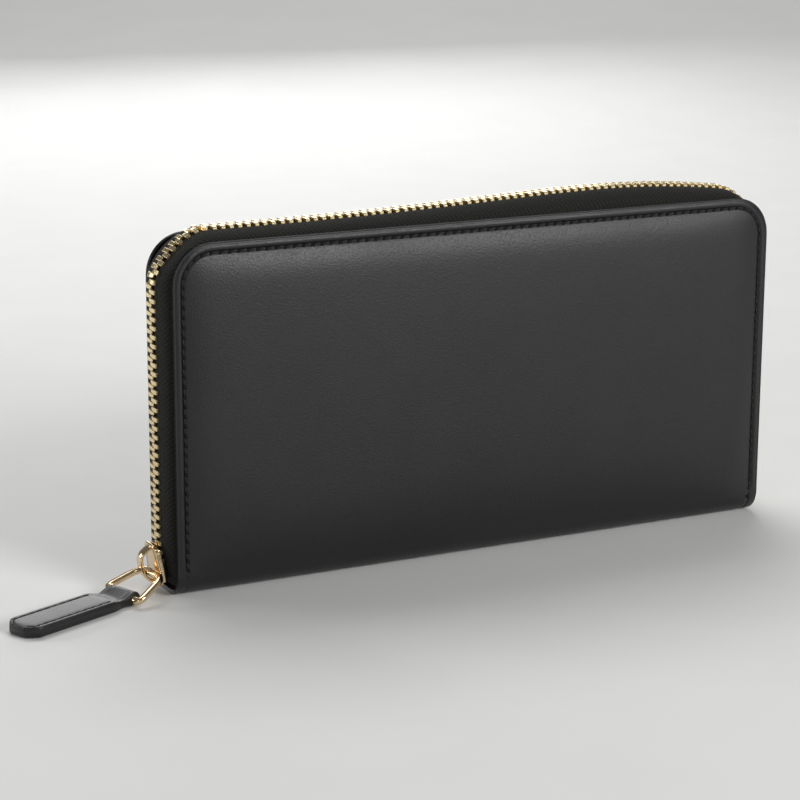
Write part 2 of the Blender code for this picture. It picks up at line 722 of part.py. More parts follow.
def pull(carrier):
    """A wire loop that hangs in the bridge, and a leather tab folded round its crossbar."""
    # The loop's narrow bar lies inside the lower part of the bridge.
    place, lean = slider_frame()
    crest = bridge_line()[3][0]
    bar = Vector((crest + BRIDGE_STRAP / 2 + 2 * GAP + LOOP_WIRE / 2, 0.0, -SLIDER_LENGTH * 0.12))
    bar = place + Matrix.Rotation(-lean, 3, "Y") @ bar
    # It slopes down until the tab's fold, round its crossbar, reaches the ground.
    pitch = math.asin((bar.z - TAB_LIFT - TAB_NOSE) / LOOP_LENGTH)
    loop_axis = joint_empty("loop_axis", bar, (0.0, 0.0, LOOP_YAW + math.pi))
    curve = bpy.data.curves.new("pull_loop", "CURVE")
    curve.dimensions = "3D"
    curve.bevel_depth = LOOP_WIRE / 2
    curve.bevel_resolution = 2
    points = loop_corner_points()
    spline = curve.splines.new("POLY")
    spline.points.add(len(points) - 1)
    for point, (along, across) in zip(spline.points, points):
        point.co = (along, across + LOOP_SHIFT, 0.0, 1.0)
    spline.use_cyclic_u = True
    ring = placed(bpy.data.objects.new("pull_loop", curve), GOLD_METAL, parent=loop_axis)
    ring.rotation_euler = (0.0, pitch, 0.0)

    # The tab lies level, its fold round the crossbar.
    reach = LOOP_LENGTH * math.cos(pitch)
    drop = -LOOP_LENGTH * math.sin(pitch)
    tab_axis = joint_empty("tab_axis", (reach, LOOP_SHIFT, drop), parent=loop_axis)
    half = TAB_WIDTH / 2
    outline = [(0.0, -half), (TAB_LENGTH - TAB_CHAMFER, -half), (TAB_LENGTH, -half + TAB_CHAMFER)]
    outline += [(TAB_LENGTH, half - TAB_CHAMFER), (TAB_LENGTH - TAB_CHAMFER, half), (0.0, half)]
    tab = as_mesh(plate("pull_tab", outline, TAB_THICKNESS, PULL_LEATHER))
    tab.data.materials.clear()
    tab.data.materials.append(PULL_LEATHER)
    nose = cylinder_across("tab_nose", TAB_NOSE, TAB_WIDTH, (0.0, 0.0, 0.0), CUTTERS)
    hole = cylinder_across("tab_hole", LOOP_WIRE / 2 + GAP, TAB_WIDTH * 2, (0.0, 0.0, 0.0), CUTTERS)
    for item in (tab, nose, hole):
        item.parent = tab_axis
    tab.rotation_euler.z = TAB_YAW
    tab.location.z = TAB_THICKNESS / 2 - TAB_NOSE
    boolean(tab, nose, "UNION")
    boolean(tab, hole, "DIFFERENCE")


metal_zip()
zip_carrier = slider()
bridge(zip_carrier)
pull(zip_carrier)

# ---- What moves together ----


def carry(axis, pieces):
    """Hangs objects on an empty on their joint's axis. Each stays where it is."""
    bpy.context.view_layer.update()
    for piece in pieces:
        piece.parent = axis
        piece.matrix_parent_inverse = axis.matrix_world.inverted()


def pieces_named(*beginnings):
    names = [item.name for item in WALLET.objects if item.name.startswith(beginnings)]
    return [bpy.data.objects[name] for name in names]


def joint_axes():
    """The front half and the coin pocket both turn on the fold below the front cover."""
    fold = (0.0, HINGE_Y, HINGE_Z)
    carry(joint_empty("cover_axis", fold), pieces_named("front_", "card_"))
    pocket = pieces_named("coin_bag", "coin_tape_", "coin_teeth_", "coin_stop_", "coin_slide_axis", "rear_gusset_")
    carry(joint_empty("coin_pocket_axis", fold), pocket)
    carry(bpy.data.objects["coin_slide_axis"], pieces_named("coin_pull_axis"))
    carry(bpy.data.objects["zip_slide_axis"], pieces_named("loop_axis"))


joint_axes()
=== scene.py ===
# %% [markdown]
# # A zip-around wallet, dressed
# The frame below holds the wallet's solids where they belong and how they move. This file gives
# them their looks: one folded hide, a metal zip, a gold pull and the pockets inside.
# X runs along the spine, Y from the front cover to the rear one and Z up. Sizes are in metres.

# %% Load the frame
import math

import bmesh
import bpy
from mathutils import Matrix, Vector


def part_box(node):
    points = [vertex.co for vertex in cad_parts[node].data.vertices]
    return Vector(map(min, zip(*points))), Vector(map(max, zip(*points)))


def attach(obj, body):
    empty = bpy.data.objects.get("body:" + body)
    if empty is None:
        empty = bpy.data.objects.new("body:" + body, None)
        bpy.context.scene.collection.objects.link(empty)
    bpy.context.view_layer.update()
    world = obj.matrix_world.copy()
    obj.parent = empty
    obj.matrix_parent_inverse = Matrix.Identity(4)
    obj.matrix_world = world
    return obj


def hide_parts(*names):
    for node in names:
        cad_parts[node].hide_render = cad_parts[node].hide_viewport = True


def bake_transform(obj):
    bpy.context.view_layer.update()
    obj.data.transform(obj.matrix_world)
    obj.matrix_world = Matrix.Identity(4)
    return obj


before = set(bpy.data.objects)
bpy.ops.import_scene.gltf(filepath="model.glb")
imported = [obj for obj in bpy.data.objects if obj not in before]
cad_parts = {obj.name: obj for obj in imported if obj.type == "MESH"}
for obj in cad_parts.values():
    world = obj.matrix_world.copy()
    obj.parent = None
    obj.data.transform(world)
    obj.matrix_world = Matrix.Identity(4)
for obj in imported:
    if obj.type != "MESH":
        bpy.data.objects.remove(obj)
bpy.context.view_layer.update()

MM = 0.001
FRONT = -1
REAR = 1
HALVES = (("front", FRONT), ("rear", REAR))
BODY_OF = {"front": "front_half", "rear": "rear_half"}

cover_low, cover_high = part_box("rear_cover")
HALF_LENGTH = cover_high.x
HEIGHT = cover_high.z
INNER_FACE = cover_low.y
HALF_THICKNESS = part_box("spine_leather")[1].y
FOLD_RADIUS = 6.5 * MM
LEATHER = HALF_THICKNESS - INNER_FACE
print("covers", 2 * HALF_LENGTH, "by", HEIGHT, "by", 2 * HALF_THICKNESS)

# %% [markdown]
# ## Camera, light and floor
# The wallet stands on its spine, seen from the front and a little from the left and above. A long
# lens keeps its edges nearly parallel. Black leather shows almost nothing of its own colour: its
# shape is drawn by what it mirrors. So the room is dim, a large panel behind and above lights the
# floor, and one panel stands in front on the right, where only the part of each cover that slopes
# back under the top seam can mirror it. A low one behind gives the leather tab its sheen, one
# lights the backdrop, and two at the left give the metal something to mirror.

# %% Camera
CAMERA_PLACE = Vector((-322.3, -590.8, 211.2)) * MM
CAMERA_YAW = 26.9
CAMERA_PITCH = 14.0
CAMERA_ROLL = 0.2

camera_data = bpy.data.cameras.new("camera")
camera_data.lens = 108.0
camera_data.sensor_width = 36.0
camera_data.clip_start = 0.01
camera = bpy.data.objects.new("camera", camera_data)
bpy.context.scene.collection.objects.link(camera)
turn = Matrix.Rotation(math.radians(-CAMERA_YAW), 4, "Z")
turn @= Matrix.Rotation(math.radians(90.0 - CAMERA_PITCH), 4, "X")
turn @= Matrix.Rotation(math.radians(CAMERA_ROLL), 4, "Z")
camera.matrix_world = Matrix.Translation(CAMERA_PLACE) @ turn
bpy.context.scene.camera = camera
bpy.context.scene.view_settings.view_transform = "Standard"
print("camera at", tuple(round(value, 3) for value in CAMERA_PLACE))


# %% Lights
def soft_light(name, place, target, size, watts):
    """A large rectangular lamp that faces a target."""
    data = bpy.data.lights.new(name, "AREA")
    data.shape = "RECTANGLE"
    data.size, data.size_y = size
    data.energy = watts
    lamp = bpy.data.objects.new(name, data)
    bpy.context.scene.collection.objects.link(lamp)
    lamp.location = place
    lamp.rotation_euler = (Vector(target) - Vector(place)).to_track_quat("-Z", "Y").to_euler()


MIDDLE = (0.0, 0.0, HEIGHT / 2)
soft_light("high_rear_panel", (0.10, 0.55, 0.95), MIDDLE, (0.90, 0.60), 5.0)
soft_light("low_rear_panel", (0.34, 1.02, 0.34), MIDDLE, (0.60, 0.30), 1.7)
soft_light("front_right_panel", (0.42, -0.98, 0.50), MIDDLE, (0.46, 0.38), 8.2)
soft_light("backdrop_panel", (0.60, 1.30, 1.60), (1.00, 2.20, 0.20), (1.20, 1.20), 9.0)
soft_light("left_rear_panel", (-0.85, 0.70, 0.28), MIDDLE, (0.50, 0.40), 3.0)
soft_light("left_front_panel", (-1.00, -0.70, 0.50), MIDDLE, (0.40, 0.40), 1.2)

world = bpy.data.worlds.new("studio")
world.use_nodes = True
world.node_tree.nodes["Background"].inputs["Color"].default_value = (0.80, 0.81, 0.82, 1.0)
world.node_tree.nodes["Background"].inputs["Strength"].default_value = 0.17
bpy.context.scene.world = world

# %% [markdown]
# ## How a finish is made
# Every finish is a Principled shader fed by a few pattern nodes. Colours are written as the hex
# values that a paint or dye card gives, and turned to linear light. Pattern scales come from real
# sizes in millimetres: a noise texture repeats about once in 1 / scale metres.


# %% Colour and node helpers
def linear(hex_colour):
    """A hex sRGB colour as linear red, green, blue and alpha."""
    values = []
    for start in (1, 3, 5):
        value = int(hex_colour[start:start + 2], 16) / 255
        values.append(value / 12.92 if value <= 0.04045 else ((value + 0.055) / 1.055) ** 2.4)
    return (*values, 1.0)


def add(tree, kind, sockets=None, **settings):
    """Adds a node. A socket given another node's output is linked to it, and any other value is set."""
    made = tree.nodes.new("ShaderNode" + kind)
    for name, value in settings.items():
        setattr(made, name, value)
    for name, value in (sockets or {}).items():
        if isinstance(value, bpy.types.NodeSocket):
            tree.links.new(value, made.inputs[name])
        else:
            made.inputs[name].default_value = value
    return made


def per_mm(size):
    """The texture scale at which a pattern repeats once in a size given in millimetres."""
    return 1.0 / (size * MM)


def finish(name, colour, roughness, metallic=0.0, **extra):
    """A new material with its Principled shader set, and its node tree."""
    made = bpy.data.materials.new(name)
    made.use_nodes = True
    shader = made.node_tree.nodes["Principled BSDF"]
    shader.inputs["Base Color"].default_value = linear(colour)
    shader.inputs["Roughness"].default_value = roughness
    shader.inputs["Metallic"].default_value = metallic
    for socket, value in extra.items():
        shader.inputs[socket.replace("_", " ")].default_value = value
    made.diffuse_color = linear(colour)
    return made, made.node_tree, shader


def colour_mix(tree, factor, low, high):
    """A colour between two hex colours, as a factor says."""
    mix = add(tree, "Mix", {"Factor": factor}, data_type="RGBA")
    mix.inputs["A"].default_value = linear(low)
    mix.inputs["B"].default_value = linear(high)
    return mix.outputs["Result"]


def spread(tree, value, low, high):
    """A pattern's 0 to 1 stretched to run from low to high."""
    made = add(tree, "MapRange", {"Value": value, "To Min": low, "To Max": high})
    return made.outputs["Result"]


def bump(tree, shader, height, strength, depth_mm):
    """Raises the surface by a height pattern, whose full range is so many millimetres."""
    made = add(tree, "Bump", {"Height": height, "Strength": strength, "Distance": depth_mm * MM})
    tree.links.new(made.outputs["Normal"], shader.inputs["Normal"])
    return made


# %% [markdown]
# ### Leather
# The covers are box calf: chrome-tanned calfskin, dyed through and pressed smooth, with a thin
# satin top coat. Its grain is a net of fine cells about a third of a millimetre wide, drawn here
# a little coarser so that it shows, with pores between them. The eye reads it from broken,
# slightly uneven highlights rather than from colour.


# %% Leather finishes
def leather(name, dark, light, roughness, grain_mm, depth_mm):
    """Smooth dyed leather: cells and pores for its grain, and slow patches of dye and polish."""
    made, tree, shader = finish(name, dark, roughness)
    place = add(tree, "TexCoord").outputs["Object"]
    wander = add(tree, "TexNoise", {"Vector": place, "Scale": per_mm(3 * grain_mm), "Detail": 2.0})
    reach = (0.3 * grain_mm * MM,) * 3
    moved = add(tree, "VectorMath", {0: wander.outputs["Color"], 1: reach}, operation="MULTIPLY")
    bent = add(tree, "VectorMath", {0: place, 1: moved.outputs["Vector"]}, operation="ADD").outputs["Vector"]
    cells = add(tree, "TexVoronoi", {"Vector": bent, "Scale": per_mm(grain_mm)}, feature="SMOOTH_F1")
    pores = add(tree, "TexNoise", {"Vector": place, "Scale": per_mm(0.45 * grain_mm), "Detail": 3.0})
    patches = add(tree, "TexNoise", {"Vector": place, "Scale": per_mm(22.0), "Detail": 3.0})
    deep = {0: cells.outputs["Distance"], 1: pores.outputs["Fac"]}
    relief = add(tree, "Math", deep, operation="MULTIPLY")
    tone = colour_mix(tree, patches.outputs["Fac"], dark, light)
    tree.links.new(tone, shader.inputs["Base Color"])
    polish = add(tree, "Mix", {"Factor": 0.45}, data_type="FLOAT")
    tree.links.new(patches.outputs["Fac"], polish.inputs["A"])
    tree.links.new(pores.outputs["Fac"], polish.inputs["B"])
    sheen = spread(tree, polish.outputs["Result"], roughness - 0.10, roughness + 0.12)
    tree.links.new(sheen, shader.inputs["Roughness"])
    bump(tree, shader, relief.outputs["Value"], 0.8, depth_mm)
    return made


BOX_CALF = leather("box_calf_leather", "#0e0e10", "#19191c", 0.40, 0.44, 0.13)
TAB_CALF = leather("glazed_calf_leather", "#19191a", "#2a2a2a", 0.34, 0.50, 0.06)
POCKET_CALF = leather("split_calf_leather", "#232325", "#36363a", 0.48, 0.50, 0.08)
EDGE_PAINT = leather("painted_leather_edge", "#0c0c0d", "#151516", 0.30, 0.9, 0.03)

# %% [markdown]
# ### Metal
# The zip and its pull are zinc and brass, plated pale gold and tumbled bright. Plating hides the
# grain, so what shows is a hard reflection with hair-fine rubs and slightly duller hollows.


# %% Gold plating
def gold_plate(name, colour, roughness, rub_mm):
    """Bright plating with fine rubs one way and a slow haze."""
    made, tree, shader = finish(name, colour, roughness, metallic=1.0)
    place = add(tree, "TexCoord").outputs["Object"]
    stretch = add(tree, "Mapping", {"Vector": place, "Scale": (1.0, 5.0, 1.0)}).outputs["Vector"]
    rubs = add(tree, "TexNoise", {"Vector": stretch, "Scale": per_mm(rub_mm), "Detail": 4.0})
    haze = add(tree, "TexNoise", {"Vector": place, "Scale": per_mm(6.0), "Detail": 2.0})
    worn = add(tree, "Math", {0: rubs.outputs["Fac"], 1: haze.outputs["Fac"]}, operation="MULTIPLY")
    dull = spread(tree, worn.outputs["Value"], roughness - 0.05, roughness + 0.22)
    tree.links.new(dull, shader.inputs["Roughness"])
    bump(tree, shader, rubs.outputs["Fac"], 0.25, 0.02)
    return made


PULL_GOLD = gold_plate("gold_plated_zinc", "#ecd2aa", 0.14, 1.2)
TEETH_GOLD = gold_plate("gold_plated_brass", "#ead6a8", 0.22, 0.8)

# %% [markdown]
# ### Cloth and thread
# The zip tape is polyester, woven in a herringbone of slanting ribs, the way that stops it from
# curling. The ribs are drawn twice as coarse as real ones, about 1.35 mm apart, or they would not
# show. The pattern follows the tape round its corners, so it reads the tape's own UV map, which
# is laid out in metres: U along the tape and V across it.


# %% Zip tape, linings and thread
def ribs(tree, along, across, pitch_mm, herringbone_mm):
    """Slanting ribs that turn back on themselves: 0 in the valleys and 1 on the ribs."""
    half = add(tree, "Math", {0: across, 1: herringbone_mm * MM}, operation="PINGPONG")
    slanted = add(tree, "Math", {0: along, 1: half.outputs["Value"]}, operation="ADD")
    full_turns = 2 * math.pi * per_mm(pitch_mm)
    turns = add(tree, "Math", {0: slanted.outputs["Value"], 1: full_turns}, operation="MULTIPLY")
    wave = add(tree, "Math", {0: turns.outputs["Value"]}, operation="SINE")
    return spread(tree, wave.outputs["Value"], 0.5, 1.0)


def woven(name, dark, light, roughness, pitch_mm, herringbone_mm, depth_mm):
    """Woven cloth on a UV map in metres, coloured darker in the valleys between its ribs and lighter on them:
    painted shade and painted sheen, beside the bump.
    """
    made, tree, shader = finish(name, dark, roughness, Specular_IOR_Level=0.25)
    laid = add(tree, "UVMap", uv_map="metres").outputs["UV"]
    split = add(tree, "SeparateXYZ", {"Vector": laid})
    rib = ribs(tree, split.outputs["X"], split.outputs["Y"], pitch_mm, herringbone_mm)
    fuzz = add(tree, "TexNoise", {"Vector": laid, "Scale": per_mm(0.35), "Detail": 2.0})
    raised = add(tree, "Math", {0: rib, 1: fuzz.outputs["Fac"]}, operation="MULTIPLY").outputs["Value"]
    # the ribs' height sets the colour: painted shade in the valleys, painted highlight on the ribs
    tree.links.new(colour_mix(tree, raised, dark, light), shader.inputs["Base Color"])
    bump(tree, shader, raised, 0.9, depth_mm)
    return made


TAPE_CLOTH = woven("polyester_zip_tape", "#020202", "#3b3a36", 0.8, 1.35, 2.8, 0.50)
LINING_CLOTH = woven("polyester_twill_lining", "#161618", "#434348", 0.55, 0.9, 400.0, 0.12)
GUSSET_CLOTH = woven("nylon_gusset_cloth", "#151517", "#3a3a3f", 0.62, 0.8, 0.8, 0.08)


def thread(name, dark, light, roughness, ply_mm):
    """Waxed polyester thread: plies that wind round it, coloured lighter on each ply and darker between them
    as painted sheen and painted shade.
    """
    made, tree, shader = finish(name, dark, roughness)
    place = add(tree, "TexCoord").outputs["Object"]
    slant = add(tree, "Mapping", {"Vector": place, "Rotation": (0.6, 0.7, 0.5)}).outputs["Vector"]
    plies = add(tree, "TexWave", {"Vector": slant, "Scale": per_mm(ply_mm * 3.2), "Distortion": 0.4})
    # the plies' wave sets the colour: painted shade between the plies, painted sheen on them
    tree.links.new(colour_mix(tree, plies.outputs["Fac"], dark, light), shader.inputs["Base Color"])
    bump(tree, shader, plies.outputs["Fac"], 0.5, 0.05)
    return made


THREAD = thread("waxed_polyester_thread", "#050505", "#131314", 0.6, 0.4)
print("finishes", len([item for item in bpy.data.materials if item.use_nodes]))


# %% [markdown]
# ## Floor
# A plain pale board, far larger than the view, with the faint mottle of matt paint. Well behind
# the wallet it curves up, so that the picture has no horizon.


# %% Floor
COVE_START = 0.8
COVE_RISE = 0.22


def pale_floor():
    """The board that the wallet stands on, curving up behind it."""
    made, tree, shader = finish("matt_emulsion_paint", "#ededeb", 0.85)
    place = add(tree, "TexCoord").outputs["Object"]
    mottle = add(tree, "TexNoise", {"Vector": place, "Scale": per_mm(40.0), "Detail": 3.0})
    tree.links.new(colour_mix(tree, mottle.outputs["Fac"], "#eaeae8", "#f0f0ee"), shader.inputs["Base Color"])
    bm = bmesh.new()
    bmesh.ops.create_grid(bm, x_segments=60, y_segments=60, size=4.0)
    yaw = math.radians(CAMERA_YAW)
    for vertex in bm.verts:
        away = vertex.co.x * math.sin(yaw) + vertex.co.y * math.cos(yaw) - COVE_START
        vertex.co.z = COVE_RISE * max(away, 0.0) ** 2
    floor = add_piece("floor", bm, [made])


def add_piece(name, bm, materials, smooth=True):
    """Turns a bmesh into a piece with its materials, and puts it in the scene."""
    mesh = bpy.data.meshes.new(name)
    for face in bm.faces:
        face.smooth = smooth
    bm.to_mesh(mesh)
    bm.free()
    for made in materials:
        mesh.materials.append(made)
    piece = bpy.data.objects.new(name, mesh)
    bpy.context.scene.collection.objects.link(piece)
    print(name, len(mesh.polygons), "faces")
    return piece


pale_floor()

# %% [markdown]
# ## The hide
# One piece of leather makes the front cover, the spine and the rear cover. Flat on the bench it is
# a rectangle with round corners, its edge turned in all round. So it is made flat first, as a grid
# whose lines crowd together near the edge, where the turned edge, a crease, a raised bead and the
# sewn groove follow each other. Then it is folded: the flat sheet's length runs down the front,
# under the spine and up the rear. The padded middles rise from the sewn groove in a soft crown.

# %% Lines of the flat hide
CROWN = 2.2 * MM
CROWN_START = 3.3 * MM
STEEP_SHARE = 0.56
STEEP_REACH = 10 * MM
SLOW_REACH = 36 * MM
FOLD_REACH = 20 * MM
CORNER_BLOCK = 19.0 * MM
TOP_RADIUS = 11.5 * MM
EDGE_LINES = [0.0, 0.15, 0.32, 0.5, 0.7, 1.0, 1.4, 1.85, 2.2, 2.5, 2.8, 3.1, 3.45, 3.95, 4.7, 5.6]
EDGE_LINES += [6.8, 8.3, 10.3, 12.8, 15.8, 19.0, 22.5, 27.0]
SEAM_INSET = 2.8 * MM
RIM_PROFILE = (
    (0.0, -0.12), (0.15, 0.0), (0.32, 0.02), (0.5, -0.10), (0.7, -0.04), (1.0, 0.13), (1.4, 0.28),
    (1.85, 0.28), (2.2, 0.10), (2.5, -0.22), (2.8, -0.38), (3.1, -0.22), (3.45, 0.02),
)
ARC_LENGTH = math.pi / 2 * FOLD_RADIUS
FACE_LENGTH = HEIGHT - FOLD_RADIUS
UNDERSIDE = 2 * (HALF_THICKNESS - FOLD_RADIUS)
HIDE_LENGTH = 2 * (FACE_LENGTH + ARC_LENGTH) + UNDERSIDE


def lines_from_both_ends(length, step, extra=()):
    """Grid lines over a length: the edge lines at both ends, even steps between, and any others asked for."""
    near = [line * MM for line in EDGE_LINES]
    start, end = near[-1], length - near[-1]
    count = round((end - start) / step)
    middle = [start + (end - start) * index / count for index in range(1, count)]
    middle = [line for line in middle if not extra or not extra[0] - step / 2 < line < extra[-1] + step / 2]
    return sorted(near + middle + list(extra) + [length - line for line in near])


def fold_lines():
    """Lines across the spine: close together round each long fold."""
    lines = [FACE_LENGTH - 6 * MM, FACE_LENGTH - 4 * MM, FACE_LENGTH - 2 * MM, FACE_LENGTH - 0.8 * MM]
    lines += [FACE_LENGTH + ARC_LENGTH * step / 6 for step in range(7)]
    lines += [FACE_LENGTH + ARC_LENGTH + 1.5 * MM, HIDE_LENGTH / 2 - 3.0 * MM]
    return sorted(lines + [HIDE_LENGTH - line for line in lines] + [HIDE_LENGTH / 2])


ACROSS_LINES = lines_from_both_ends(2 * HALF_LENGTH, 6.5 * MM)
DOWN_LINES = lines_from_both_ends(HIDE_LENGTH, 6.5 * MM, fold_lines())
print("hide grid", len(ACROSS_LINES), "by", len(DOWN_LINES), "length", round(HIDE_LENGTH, 4))


# %% Shape of the flat hide
def profile_height(inset):
    """How far the rim stands out at an inset from the edge."""
    inset = inset / MM
    for (start, low), (end, high) in zip(RIM_PROFILE, RIM_PROFILE[1:]):
        if inset <= end:
            share = (inset - start) / (end - start)
            return (low + (high - low) * share) * MM
    return RIM_PROFILE[-1][1] * MM


def ease(value):
    """0 at and below 0, rising quickly and then levelling off at 1."""
    value = min(max(value, 0.0), 1.0)
    return 1.0 - (1.0 - value) ** 2.6


def round_corner(a, b):
    """Moves a grid point near a corner so that the square rings become round ones.

    a and b are its distances from the two edges. A ring keeps its inset, and so the rim's shape
    runs on round the corner.
    """
    if a >= CORNER_BLOCK or b >= CORNER_BLOCK:
        return a, b
    inset = min(a, b)
    radius = TOP_RADIUS - inset
    if radius <= 0.6 * MM:
        return a, b
    share = (max(a, b) - inset) / (CORNER_BLOCK - inset)
    half_arc = radius * math.pi / 4
    along = share * (half_arc + CORNER_BLOCK - inset - radius)
    if along < half_arc:
        angle = math.pi / 4 - along / radius
        near, far = radius * (1 - math.cos(angle)), radius * (1 - math.sin(angle))
    else:
        near, far = 0.0, radius + along - half_arc
    near, far = inset + near, inset + far
    return (near, far) if a <= b else (far, near)


def crown_height(side_distance, top_distance, fold_distance):
    """The padded middle of a cover, from distances to its sides, its top and its fold."""
    rise = 1.0
    for distance in (side_distance - CROWN_START, top_distance - CROWN_START):
        slow = (1 - STEEP_SHARE) * ease(distance / SLOW_REACH)
        rise *= STEEP_SHARE * ease(distance / STEEP_REACH) + slow
    return CROWN * rise * ease(fold_distance / FOLD_REACH)


def folded(x, down, height):
    """A point of the flat hide after folding: x along the spine, down its length, and its height outwards."""
    near_front = down < HIDE_LENGTH / 2
    along = down if near_front else HIDE_LENGTH - down
    side = FRONT if near_front else REAR
    flat = HALF_THICKNESS - FOLD_RADIUS
    if along <= FACE_LENGTH:
        return Vector((x, side * (HALF_THICKNESS + height), HEIGHT - along))
    if along <= FACE_LENGTH + ARC_LENGTH:
        angle = (along - FACE_LENGTH) / FOLD_RADIUS
        reach = FOLD_RADIUS + height
        return Vector((x, side * (flat + reach * math.cos(angle)), FOLD_RADIUS - reach * math.sin(angle)))
    return Vector((x, side * (flat - (along - FACE_LENGTH - ARC_LENGTH)), -height))


def hide_point(column, row):
    """Where a crossing of two grid lines lies on the finished hide."""
    x, down = ACROSS_LINES[column], DOWN_LINES[row]
    a = min(x, 2 * HALF_LENGTH - x)
    b = min(down, HIDE_LENGTH - down)
    inset = min(a, b)
    a, b = round_corner(a, b)
    x = a - HALF_LENGTH if x < HALF_LENGTH else HALF_LENGTH - a
    down = b if down < HIDE_LENGTH / 2 else HIDE_LENGTH - b
    height = profile_height(inset)
    fold_distance = FACE_LENGTH - b
    if fold_distance < 0:
        height = min(height, 0.0)
    else:
        height = height * min(fold_distance / (3 * MM), 1.0) + crown_height(a, b, fold_distance)
    return folded(x, down, height)


def hide():
    """The grid, moved line by line to its place, with its UV map in metres and its faces turned outwards."""
    bm = bmesh.new()
    columns, rows = len(ACROSS_LINES), len(DOWN_LINES)
    bmesh.ops.create_grid(bm, x_segments=columns - 1, y_segments=rows - 1, size=0.5)
    laid = bm.loops.layers.uv.new("metres")
    flat = {}
    for vertex in bm.verts:
        column = round((vertex.co.x + 0.5) * (columns - 1))
        row = round((vertex.co.y + 0.5) * (rows - 1))
        flat[vertex] = (ACROSS_LINES[column], DOWN_LINES[row])
        vertex.co = hide_point(column, row)
    for face in bm.faces:
        for loop in face.loops:
            loop[laid].uv = flat[loop.vert]
    bmesh.ops.recalc_face_normals(bm, faces=bm.faces)
    outer = max(bm.faces, key=lambda face: face.calc_center_median().y)
    if outer.normal.y < 0:
        bmesh.ops.reverse_faces(bm, faces=bm.faces)
    return bm


leather_hide = add_piece("outer_hide", hide(), [BOX_CALF])
thick = leather_hide.modifiers.new("leather", "SOLIDIFY")
thick.thickness = LEATHER
thick.offset = -1.0
rounder = leather_hide.modifiers.new("round", "SUBSURF")
rounder.levels = 1
rounder.render_levels = 1
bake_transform(leather_hide)
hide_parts("front_cover", "spine_leather", "rear_cover")

# %% [markdown]
# ## Stitches
# The covers are sewn to the zip tape all round with a lockstitch in black waxed thread. Each
# stitch is a short, slightly slanted bulge that dives into a needle hole at both ends. One small
# ball, stretched to size, is repeated along the seam, and at each hole a flat near-black ball is
# painted shadow: the shade inside the needle hole, drawn as a dark body.

# %% Seam line
SEAM_PITCH = 2.7 * MM
SEAM_END = 5.2 * MM
HOLE_SHADOW_SHIFT = 0.38 * MM
HOLE_SHADOW_RISE = 0.08 * MM


def cover_edge_point(distance, inset, length, height, radius):
    """Walks round a cover from its lower left to its lower right, at an inset from its edge.

    Gives x, z and the outward normal. distance is measured along the walk itself.
    """
    side = height - SEAM_END - radius
    turn_length = math.pi / 2 * (radius - inset)
    top = 2 * (length - radius)
    if distance < side:
        return -length + inset, SEAM_END + distance, -1.0, 0.0
    distance -= side
    if distance < turn_length:
        angle = math.pi - distance / (radius - inset)
    elif distance < turn_length + top:
        return -length + radius + distance - turn_length, height - inset, 0.0, 1.0
    else:
        distance -= turn_length + top
        if distance >= turn_length:
            return length - inset, height - radius - (distance - turn_length), 1.0, 0.0
        angle = math.pi / 2 - distance / (radius - inset)
    centre_x = (-length if angle > math.pi / 2 else length) + math.copysign(radius, math.cos(angle) * -1)
    nx, nz = math.cos(angle), math.sin(angle)
    return centre_x + (radius - inset) * nx, height - radius + (radius - inset) * nz, nx, nz


def seam_length(inset):
    """The whole length of the walk round a cover at an inset."""
    side = HEIGHT - SEAM_END - TOP_RADIUS
    return 2 * side + math.pi * (TOP_RADIUS - inset) + 2 * (HALF_LENGTH - TOP_RADIUS)


def add_ball(bm, matrix, segments=8, rings=5, material=0):
    """A small ball, stretched and turned by a matrix."""
    made = bmesh.ops.create_uvsphere(bm, u_segments=segments, v_segments=rings, radius=1.0, matrix=matrix)
    for face in {face for vertex in made["verts"] for face in vertex.link_faces}:
        face.material_index = material


def axes_matrix(place, along, out, sizes):
    """A matrix that puts a shape's X along one direction and its Z out along another, with its half sizes."""
    along = Vector(along).normalized()
    out = Vector(out).normalized()
    across = out.cross(along)
    turn = Matrix((along, across, out)).transposed().to_4x4()
    return Matrix.Translation(place) @ turn @ Matrix.Diagonal((*sizes, 1.0))


def cover_seam(name, side):
    """The stitches round one cover, with a near-black ball of painted shadow at each needle hole."""
    bm = bmesh.new()
    total = seam_length(SEAM_INSET)
    count = round(total / SEAM_PITCH)
    face_y = side * (HALF_THICKNESS - 0.17 * MM)
    for index in range(count):
        distance = (index + 0.5) * total / count
        x, z, nx, nz = cover_edge_point(distance, SEAM_INSET, HALF_LENGTH, HEIGHT, TOP_RADIUS)
        along = Vector((nz, 0.0, -nx))
        slant = along + 0.16 * Vector((nx, 0.0, nz))
        place = Vector((x, face_y, z))
        add_ball(bm, axes_matrix(place, slant, (0, side, 0), (1.12 * MM, 0.30 * MM, 0.30 * MM)))
        # a flattened near-black ball where the thread dives in: painted shadow of the needle hole, shifted in
        # towards the crown
        hole_shadow = place + along * SEAM_PITCH / 2 - HOLE_SHADOW_SHIFT * Vector((nx, 0.0, nz))
        hole_shadow += Vector((0.0, side * HOLE_SHADOW_RISE, 0.0))
        hole_shadow_slant = along + 0.8 * Vector((nx, 0.0, nz))
        sizes = (0.95 * MM, 0.52 * MM, 0.22 * MM)
        add_ball(bm, axes_matrix(hole_shadow, hole_shadow_slant, (0, side, 0), sizes), 8, 4, 1)
    return add_piece(name, bm, [THREAD, NEEDLE_HOLE_SHADOW])


# near-black material of the needle-hole balls: painted shadow, not a colour of the leather
NEEDLE_HOLE_SHADOW, _, _ = finish("pierced_leather_shadow", "#020202", 0.95)
for half, side in HALVES:
    seam = cover_seam(f"{half}_cover_stitches", side)
    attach(seam, BODY_OF[half])

